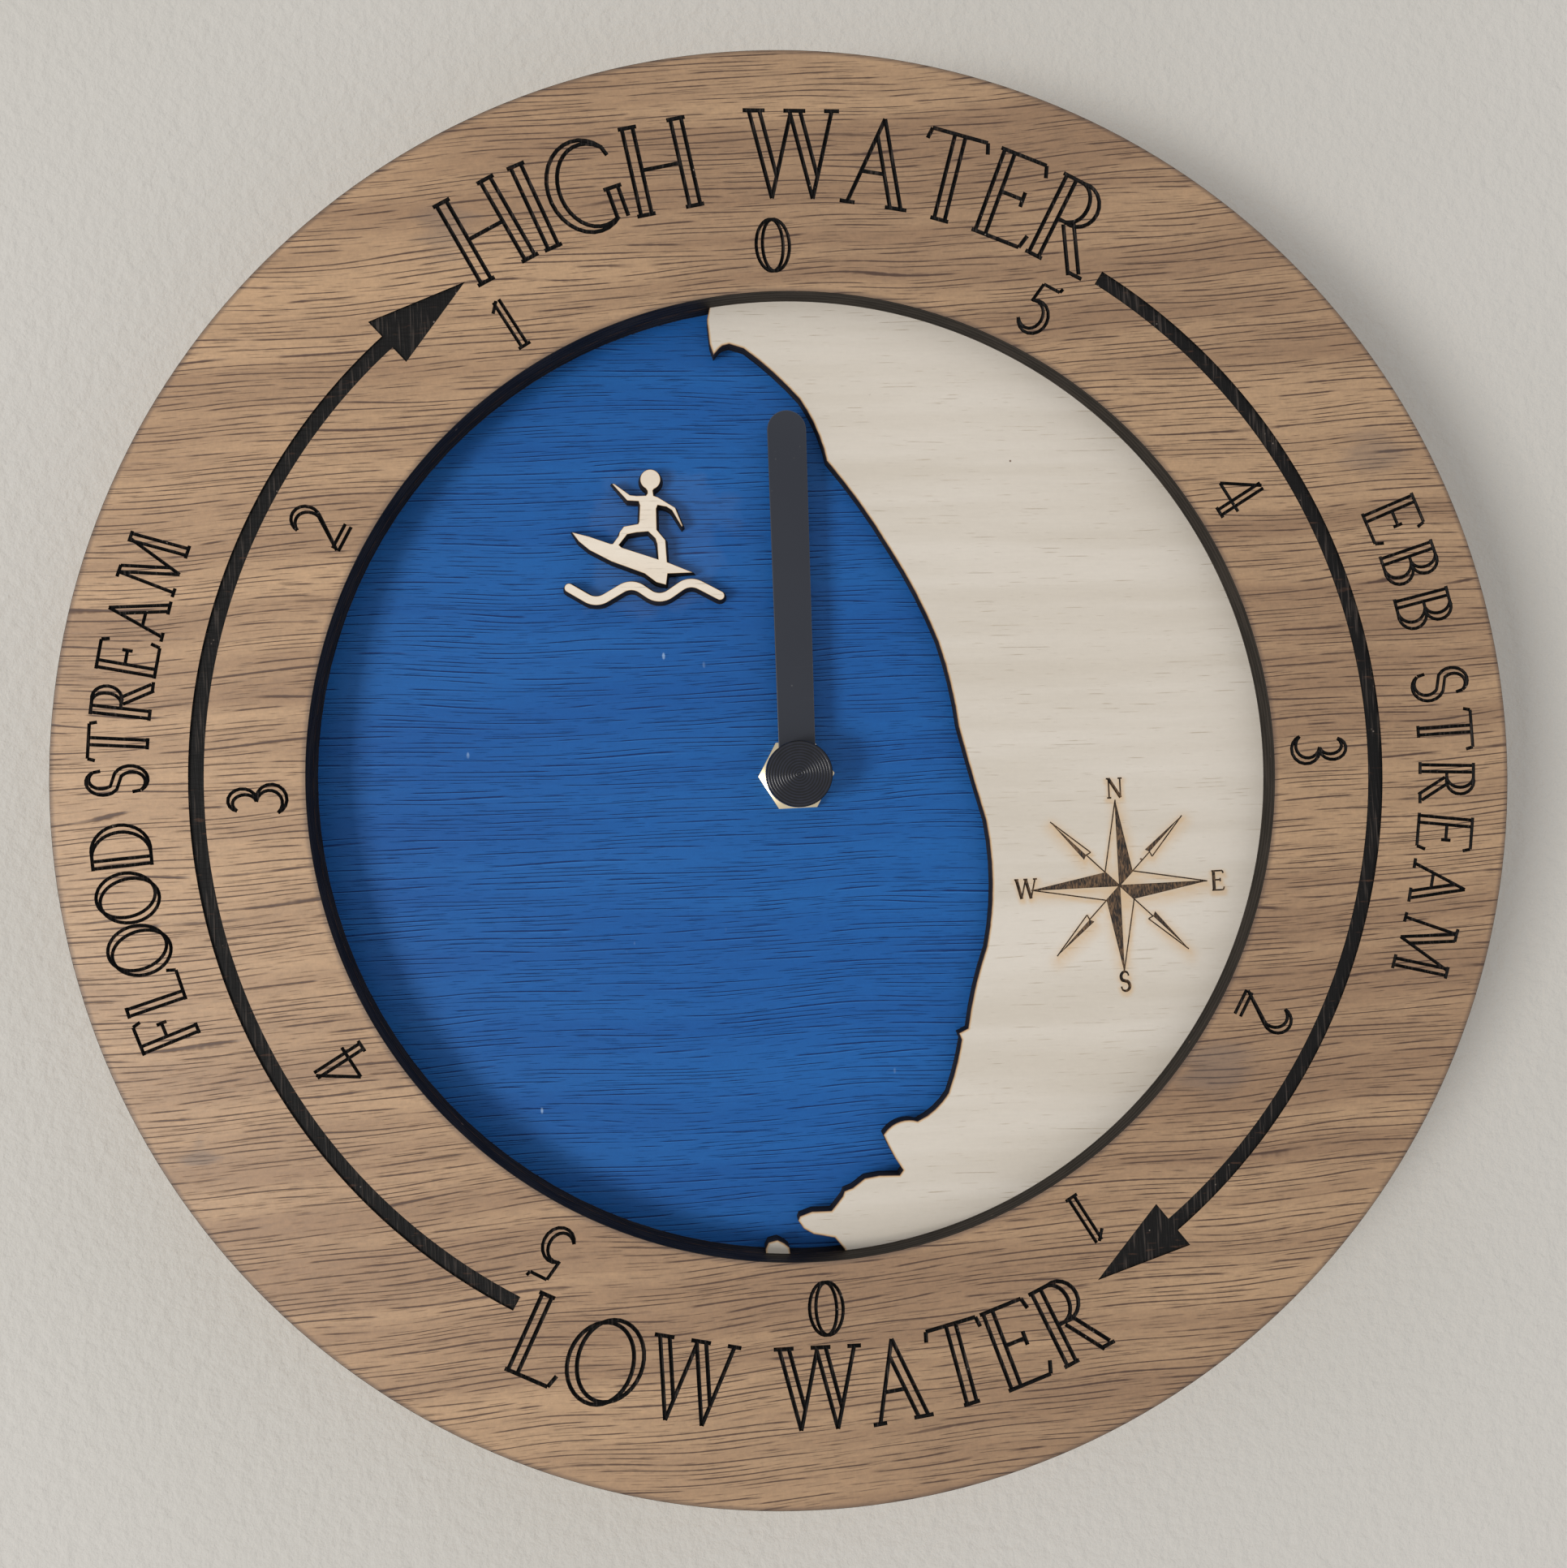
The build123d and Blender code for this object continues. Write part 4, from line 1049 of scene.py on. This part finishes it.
def scorched(piece, face, marks, reach, strength, shift=(0, 0)):
    """Writes how strongly each point of the face is browned by the marks burnt near it."""
    skin = MM * 0.6
    tree = kdtree.KDTree(len(marks))
    for number, (x, z) in enumerate(marks):
        tree.insert((x + shift[0], 0, z + shift[1]), number)
    tree.balance()
    attribute = piece.data.attributes.get("scorch") or piece.data.attributes.new("scorch", "FLOAT", "POINT")
    for vertex, value in zip(piece.data.vertices, attribute.data):
        if abs(vertex.co.y - face) < skin:
            away = tree.find((vertex.co.x, 0, vertex.co.z))[2]
            value.value = max(value.value, strength * math.exp(-((away / reach) ** 2)))


def sampled(lines, step):
    """Places along lines, no further apart than step."""
    places = []
    for line in lines:
        for start, end in zip(line, line[1:]):
            start, end = Vector(start), Vector(end)
            count = max(1, math.ceil((end - start).length / step))
            places += [tuple(start.lerp(end, n / count)) for n in range(count + 1)]
    return places


def board_with_rim(node, front, rims, slope=0.0):
    """A copy of a cut board. Its front has narrow bands along the edge, its sides are burnt.

    Where a slope is given, the outermost band is burnt too and falls back by it, as a laser cut does.
    """
    shape = merged_copy(node)
    edge_lines = []
    for edge in shape.edges:
        ends = [vert.co for vert in edge.verts]
        if all(abs(end.y - front) < LEVEL for end in ends) and edge.is_manifold:
            if any(abs(face.normal.y) < SIDE for face in edge.link_faces):
                edge_lines.append([(end.x, end.z) for end in ends])
    for face in shape.faces:
        if abs(face.normal.y) < SIDE:
            face.material_index = 2
    fronts = [face for face in shape.faces if face.normal.y < -SIDE]
    for number, width in enumerate(rims):
        grown = bmesh.ops.inset_region(
            shape, faces=fronts, thickness=width, depth=0, use_boundary=True, use_even_offset=True
        )
        if slope and number == 0:
            inner = {vert for face in fronts for vert in face.verts}
            outer = {vert for face in grown["faces"] for vert in face.verts} - inner
            bmesh.ops.translate(shape, verts=list(outer), vec=(0, slope, 0))
            for face in grown["faces"]:
                face.material_index = 1
    return shape, edge_lines


def crossed(face, axis, place, low, high):
    """Whether a front face is cut by the plane at this place of the axis, inside the window."""
    other = 2 - axis
    across = [vert.co[axis] for vert in face.verts]
    along = [vert.co[other] for vert in face.verts]
    within = max(along) > low[other] and min(along) < high[other]
    return face.normal.y <= -SIDE and min(across) < place < max(across) and within


def gridded(shape, low, high, pitch):
    """Cuts the part of a board that lies in an upright window into small squares."""
    for axis, normal in ((0, (1, 0, 0)), (2, (0, 0, 1))):
        for step in range(round((high[axis] - low[axis]) / pitch) + 1):
            place = low[axis] + step * pitch
            inside = [face for face in shape.faces if crossed(face, axis, place, low, high)]
            if not inside:
                continue
            edges = {edge for face in inside for edge in face.edges}
            verts = {vert for face in inside for vert in face.verts}
            bmesh.ops.bisect_plane(
                shape, geom=[*inside, *edges, *verts], dist=MM * 0.0001,
                plane_co=[place * share for share in normal], plane_no=normal,
            )


class CLOCK_OT_coast_board(bpy.types.Operator):
    """Make the land with its burnt shore and the compass burnt into it"""

    bl_idname = "clock.coast_board"
    bl_label = "Coast board"

    def execute(self, context):
        sizes = context.scene.clock_sizes
        shape, edge_lines = board_with_rim("coast_layer", LAND_FACE, (0.00022, 0.0003))
        centre = Vector((sizes.compass_across, sizes.compass_height))
        low = (centre.x - 0.0235, 0, centre.y - 0.0245)
        high = (centre.x + 0.0235, 0, centre.y + 0.0235)
        gridded(shape, low, high, 0.0007)
        piece = new_piece("coast_board", shape, "root", "birch_ply", "birch_ply", "burnt_brown", "charred_edge")
        filled, lines = compass_shapes(sizes)
        letters, widths = compass_letters(sizes)
        filled, lines, letters = (
            [[centre + point for point in line] for line in group] for group in (filled, lines, letters)
        )
        widths = [[1.0] * len(line) for line in lines] + widths
        cutter = stroke_cutter(lines + letters, 0.00026, 0.00022, LAND_FACE, widths)
        for corners in filled:
            prism(cutter, corners, LAND_FACE - MM, LAND_FACE + 0.0002)
        carve(piece, cutter)
        loops = [[*corners, corners[0]] for corners in filled]
        marks = sampled(lines + letters + loops, 0.0005)
        scorched(piece, LAND_FACE, marks, 0.0009, 0.36, (0.0001, -0.0005))
        scorched(piece, LAND_FACE, sampled(loops, 0.0005), 0.0024, 0.25, (0.0002, -0.0011))
        scorched(piece, LAND_FACE, [tuple(centre)], 0.0062, 0.42, (0.0006, -0.0012))
        scorched(piece, LAND_FACE, sampled(edge_lines, 0.0004), 0.0003, 1.0)
        refine(piece)
        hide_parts("coast_layer")
        return {"FINISHED"}


class CLOCK_OT_sea_board(bpy.types.Operator):
    """Make the painted sea board"""

    bl_idname = "clock.sea_board"
    bl_label = "Sea board"

    def execute(self, context):
        shape = merged_copy("sea_disc")
        for face in shape.faces:
            face.material_index = 2 if abs(face.normal.y) < SIDE else int(face.normal.y > 0)
        finishes = ("blue_painted_ply", "bare_ply_back", "charred_edge")
        piece = new_piece("sea_board", shape, "root", "blue_painted_ply", *finishes)
        refine(piece)
        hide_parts("sea_disc")
        return {"FINISHED"}


def flare(shape, back, width):
    """Moves the back edge of a cut-out outwards, because the laser's cut is narrower there."""
    moves = []
    for vert in shape.verts:
        walls = [face.normal for face in vert.link_faces if abs(face.normal.y) < SIDE]
        if walls and abs(vert.co.y - back) < LEVEL:
            moves.append((vert, sum(walls, Vector()).normalized() * width))
    for vert, move in moves:
        vert.co += move


class CLOCK_OT_surfer_and_wave(bpy.types.Operator):
    """Make the two small birch cut-outs glued on the sea"""

    bl_idname = "clock.surfer_and_wave"
    bl_label = "Surfer and wave"

    def execute(self, context):
        for node, name in (("surfer", "surfer_cutout"), ("wave_strip", "wave_cutout")):
            front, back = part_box(node)[0].y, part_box(node)[1].y
            shape, edge_lines = board_with_rim(node, front, (0.00006, 0.00012), 0.00006)
            flare(shape, back, 0.00042)
            piece = new_piece(name, shape, "root", "birch_ply", "cutout_birch", "charred_wood", "charred_edge")
            scorched(piece, front, sampled(edge_lines, 0.0001), 0.00012, 0.95)
            refine(piece)
            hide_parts(node)
        return {"FINISHED"}


class CLOCK_OT_hand(bpy.types.Operator):
    """Make the flat black hand with softened edges"""

    bl_idname = "clock.hand"
    bl_label = "Hand"

    def execute(self, context):
        shape = merged_copy("hand")
        soften(shape, 0.00012)
        shade(shape, 40)
        # The softened edges take the lighter enamel, a painted highlight along the hand's edges.
        for face in shape.faces:
            face.material_index = 1 if face.smooth else 0
        piece = new_piece("tide_hand", shape, "hand_and_tube", "black_enamel", "black_enamel", "edge_highlight_enamel")
        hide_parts("hand")
        return {"FINISHED"}


def cap_profile(low, high, sizes):
    """Half a section of the cap: its bore, its rounded rim and the rings turned in its front."""
    radius, bore, floor = high.x, 2.52 * MM, low.y + 3.7 * MM
    front = low.y + 0.00001
    profile = [(0, floor), (bore, floor), (bore, high.y), (radius - 0.0002, high.y), (radius, high.y - 0.0002)]
    profile += [(radius, low.y + 0.0003), (radius - 0.00025, low.y + 0.00004)]
    pitch = sizes.cap_ring_pitch
    for ring in range(int((radius - 0.0004) / pitch), 0, -1):
        for share, drop in ((0.0, 0.0), (0.25, 0.5), (0.5, 1.0), (0.75, 0.5)):
            profile.append(((ring - share) * pitch, front + drop * sizes.cap_ring_depth))
    return [*profile, (0, front)]


def nut_chamfer(low, high):
    """What the nut is cut down to: a chamfer in front and a smaller one at the back."""
    corner = high.x
    across = (corner + corner * math.cos(math.pi / 6)) / 2
    rise = (corner - across) * 0.6
    level = 6.2 * MM
    outer = corner + 0.0004
    drop = (outer - level) * math.tan(math.radians(21))
    front = [(0, low.y), (level, low.y), (outer, low.y + drop)]
    return lathe([*front, (outer, high.y - rise), (across, high.y), (0, high.y)])


def thread_profile(low, high):
    """Half a section of the bush, with its thread in front of the sea board."""
    outer, inner, depth = high.x, 2.55 * MM, 0.0004
    place, pitch = -19.0 * MM, 0.75 * MM
    profile = [(inner, high.y), (outer, high.y), (outer, place)]
    while place - pitch > low.y + depth:
        profile += [(outer - depth, place - pitch / 2), (outer, place - pitch)]
        place -= pitch
    return [*profile, (outer, low.y + 0.0003), (outer - 0.0003, low.y), (inner, low.y), (inner, high.y)]


class CLOCK_OT_hub(bpy.types.Operator):
    """Make the turned cap, the chamfered nut and the threaded bush"""

    bl_idname = "clock.hub"
    bl_label = "Cap, nut and bush"

    def execute(self, context):
        shape = lathe(cap_profile(*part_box("hub_cap"), context.scene.clock_sizes), steps=128)
        shade(shape, 50)
        cap = new_piece("turned_cap", shape, "hand_and_tube", "black_plastic", "turned_black")
        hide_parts("hub_cap")

        nut = new_piece("hexagon_nut", merged_copy("fixing_nut"), "root", "brass", "brass")
        carve(nut, nut_chamfer(*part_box("fixing_nut")), "INTERSECT")
        refine(nut, 20)
        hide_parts("fixing_nut")

        shape = lathe(thread_profile(*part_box("threaded_bush")), steps=64)
        shade(shape, 20)
        bush = new_piece("bush_with_thread", shape, "root", "brass", "brass")
        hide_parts("threaded_bush")
        return {"FINISHED"}


def bar_corners(x, z, wide, tall):
    """Corners of an upright rectangle about its middle, all given in millimetres."""
    sides = ((-1, -1), (1, -1), (1, 1), (-1, 1))
    return [(x * MM + side * wide * MM / 2, z * MM + end * tall * MM / 2) for side, end in sides]


def cover_marks(back):
    """Shallow marks moulded in the rear cover: a bare panel, a plus, a minus and four pin marks."""
    near, far = back + MM, back - 0.00018
    panel, minus = (-9, 7, 26, 13), (21, -6.6, 3.4, 0.8)
    plus = ((-22, -6.6, 3.4, 0.8), (-22, -7.65, 0.8, 1.3), (-22, -5.55, 0.8, 1.3))
    marks = bmesh.new()
    for bar in (panel, *plus, minus):
        prism(marks, bar_corners(*bar), near, far)
    for x, z in ((-24.4, 24.4), (24.4, 24.4), (-24.4, -3.2), (24.4, -3.2)):
        pin = arc(x * MM, z * MM, 0.0011, 0.0011, 0, 345, 23)
        prism(marks, pin, near, back - 0.0001)
    return marks


def knob_arrow(middle, back):
    """The curved arrow sunk into the setting knob."""
    near, far, radius = back + MM, back - 0.00045, 0.0031
    arrow = bmesh.new()
    swept_slot(arrow, radius, 0.0007, 20, 290, near, far)
    prism(arrow, [(radius - 0.001, 0.0011), (radius + 0.001, 0.0011), (radius, -0.0006)], near, far)
    bmesh.ops.translate(arrow, verts=arrow.verts, vec=(middle.x, 0, middle.z))
    return arrow


class CLOCK_OT_case(bpy.types.Operator):
    """Make the two moulded case halves, the setting knob and the hanger plate"""

    bl_idname = "clock.case"
    bl_label = "Case, knob and hanger"

    def execute(self, context):
        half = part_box("case_front")[1].x
        for node, name in (("case_front", "case_body"), ("case_rear", "case_cover")):
            shape = merged_copy(node)
            soften(shape, 0.00035, lambda place: max(abs(place.x), abs(place.z)) > half - MM)
            piece = new_piece(name, shape, "root", "black_case_plastic", "black_case_plastic", "black_plastic")
            if node == "case_rear":
                carve(piece, cover_marks(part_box(node)[1].y))
            refine(piece, flat_sides=True)
            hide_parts(node)

        low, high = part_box("setting_knob")
        shape = merged_copy("setting_knob")
        soften(shape, 0.00015, lambda place: place.y > high.y - LEVEL)
        piece = new_piece("knob_with_arrow", shape, "setting_knob", "black_plastic", "black_plastic")
        carve(piece, knob_arrow((low + high) / 2, high.y))
        refine(piece)
        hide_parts("setting_knob")

        shape = merged_copy("hanger_plate")
        soften(shape, 0.00015)
        shade(shape, 40)
        piece = new_piece("hanger_tab", shape, "root", "zinc_plated_steel", "zinc_plated_steel")
        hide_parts("hanger_plate")
        return {"FINISHED"}


def cell_profile(tip, end, radius):
    """Half a section of the cell: its nub, its crimped ends and its side."""
    shoulder = tip + MM
    nub = [(0, tip), (0.0023, tip), (0.00265, tip + 0.0001), (0.00275, tip + 0.0004), (0.00275, shoulder)]
    nub += [(0.0046, shoulder), (0.0048, shoulder + 0.0002), (0.0058, shoulder + 0.0002), (0.006, shoulder)]
    side = [(radius - 0.0006, shoulder), (radius - 0.0002, shoulder + 0.0001), (radius, shoulder + 0.0004)]
    side += [(radius, end - 0.0005), (radius - 0.0002, end - 0.0001), (radius - 0.0006, end)]
    return nub + side + [(0.0058, end), (0.0056, end - 0.0003), (0.0049, end - 0.0003), (0.0047, end), (0, end)]


class CLOCK_OT_battery(bpy.types.Operator):
    """Make the battery cell with its bare ends and its printed jacket"""

    bl_idname = "clock.battery"
    bl_label = "Battery"

    def execute(self, context):
        low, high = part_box("battery_cell")
        middle = (low + high) / 2
        shape = lathe(cell_profile(low.x, high.x, (high.z - low.z) / 2), steps=64)
        bmesh.ops.rotate(shape, verts=shape.verts, cent=AXIS, matrix=Matrix.Rotation(-math.pi / 2, 3, "Z"))
        bmesh.ops.translate(shape, verts=shape.verts, vec=(0, middle.y, middle.z))
        bare_end = 0.0062
        for face in shape.faces:
            place = face.calc_center_median()
            face.material_index = 0 if math.hypot(place.y - middle.y, place.z - middle.z) > bare_end else 1
        shade(shape)
        finishes = ("battery_jacket", "nickel_strip")
        piece = new_piece("battery_with_jacket", shape, "battery", "battery_jacket", *finishes)
        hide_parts("battery_cell")
        return {"FINISHED"}


MOVEMENT = {
    "black_rubber": ["rubber_washer"],
    "stator_steel": ["stator"],
    "copper_wire": ["coil_winding"],
    "circuit_laminate": ["circuit_board"],
    "nickel_can": ["crystal"],
    "nickel_strip": ["positive_contact", "negative_contact"],
    "black_plastic": ["chip"],
    "pale_plastic": [
        "middle_plate", "tide_wheel", "motion_wheel", "minute_arbor", "centre_wheel", "third_wheel", "rotor",
        "coil_bobbin", "setting_pinion",
    ],
}


class CLOCK_OT_movement(bpy.types.Operator):
    """Give the washer, the train, the coil and the circuit inside the case their finishes"""

    bl_idname = "clock.movement"
    bl_label = "Movement"

    def execute(self, context):
        for finish, nodes in MOVEMENT.items():
            for node in nodes:
                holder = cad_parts[node]
                if not holder.material_slots:
                    holder.data.materials.append(look(finish))
                for place in holder.material_slots:
                    place.material = look(finish)
        return {"FINISHED"}


def lamp(name, place, size, power, tone):
    """A square soft lamp that looks at the clock's middle."""
    light = bpy.data.lights.new(name, "AREA")
    light.shape = "SQUARE"
    light.size = size
    light.energy = power
    light.color = tone[:3]
    holder = placed(name, light)
    holder.location = place
    holder.rotation_euler = (-Vector(place)).to_track_quat("-Z", "Y").to_euler()


def wall_behind():
    """The painted wall, a hair's breadth behind the clock's back."""
    shape = bmesh.new()
    bmesh.ops.create_grid(shape, x_segments=2, y_segments=2, size=4)
    bmesh.ops.rotate(shape, verts=shape.verts, cent=AXIS, matrix=Matrix.Rotation(math.pi / 2, 3, "X"))
    bmesh.ops.translate(shape, verts=shape.verts, vec=(0, 0.00002, 0))
    mesh = mesh_of(shape, "wall")
    mesh.materials.append(wall_paint("wall_paint"))
    wall = placed("wall", mesh)


def photo_camera():
    """The camera, where the photograph was taken from: low, close and a little from the left."""
    camera = bpy.data.cameras.new("camera")
    camera.sensor_width = 36
    camera.lens = 18 / math.tan(math.radians(26.5))
    camera.clip_start = 0.01
    holder = placed("camera", camera)
    yaw, pitch, roll = 0.0624, 0.0202, math.radians(2.88)
    forward = Vector((math.sin(yaw) * math.cos(pitch), math.cos(yaw) * math.cos(pitch), math.sin(pitch)))
    right = Vector((math.cos(yaw), -math.sin(yaw), 0))
    turned = Matrix((right, right.cross(forward), -forward)).transposed().to_4x4()
    standing = Matrix.Translation((-0.02182, FACE - 0.3003, -0.00803)) @ turned
    holder.matrix_world = Matrix.Rotation(roll, 4, "Y") @ standing
    return holder


class CLOCK_OT_stage(bpy.types.Operator):
    """Make the wall, the lamps and the camera"""

    bl_idname = "clock.stage"
    bl_label = "Stage"

    def execute(self, context):
        wall_behind()
        world = bpy.data.worlds.new("room")
        world.use_nodes = True
        feed(world.node_tree.nodes["Background"], {"Color": colour(250, 250, 250), "Strength": 0.66})
        context.scene.world = world
        lamp("window", (-2.85, -3.32, -0.82), 1.25, 106.0, colour(255, 252, 247))
        lamp("back_light", (0.6, 1.6, 0.8), 1.2, 27.0, colour(255, 255, 255))
        context.scene.camera = photo_camera()
        context.scene.view_settings.view_transform = "Standard"
        return {"FINISHED"}


STEPS = (
    CLOCK_OT_dial_ring,
    CLOCK_OT_coast_board,
    CLOCK_OT_sea_board,
    CLOCK_OT_surfer_and_wave,
    CLOCK_OT_hand,
    CLOCK_OT_hub,
    CLOCK_OT_case,
    CLOCK_OT_battery,
    CLOCK_OT_movement,
    CLOCK_OT_stage,
)


class CLOCK_PT_panel(bpy.types.Panel):
    """Lists the clock's settings and its pieces"""

    bl_idname = "CLOCK_PT_panel"
    bl_label = "Clock"
    bl_space_type = "VIEW_3D"
    bl_region_type = "UI"
    bl_category = "Clock"

    def draw(self, context):
        for settings in (context.scene.clock_sizes, context.scene.clock_colours):
            column = self.layout.column()
            for name in settings.__annotations__:
                column.prop(settings, name)
        for step in STEPS:
            self.layout.operator(step.bl_idname)


CLASSES = (ClockSizes, ClockColours, *STEPS, CLOCK_PT_panel)


def register():
    for item in CLASSES:
        bpy.utils.register_class(item)
    bpy.types.Scene.clock_sizes = bpy.props.PointerProperty(type=ClockSizes)
    bpy.types.Scene.clock_colours = bpy.props.PointerProperty(type=ClockColours)


def unregister():
    del bpy.types.Scene.clock_colours
    del bpy.types.Scene.clock_sizes
    for item in reversed(CLASSES):
        bpy.utils.unregister_class(item)


def main():
    register()
    for step in STEPS:
        getattr(bpy.ops.clock, step.bl_idname.split(".")[1])()
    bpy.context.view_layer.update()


if __name__ == "__main__":
    main()
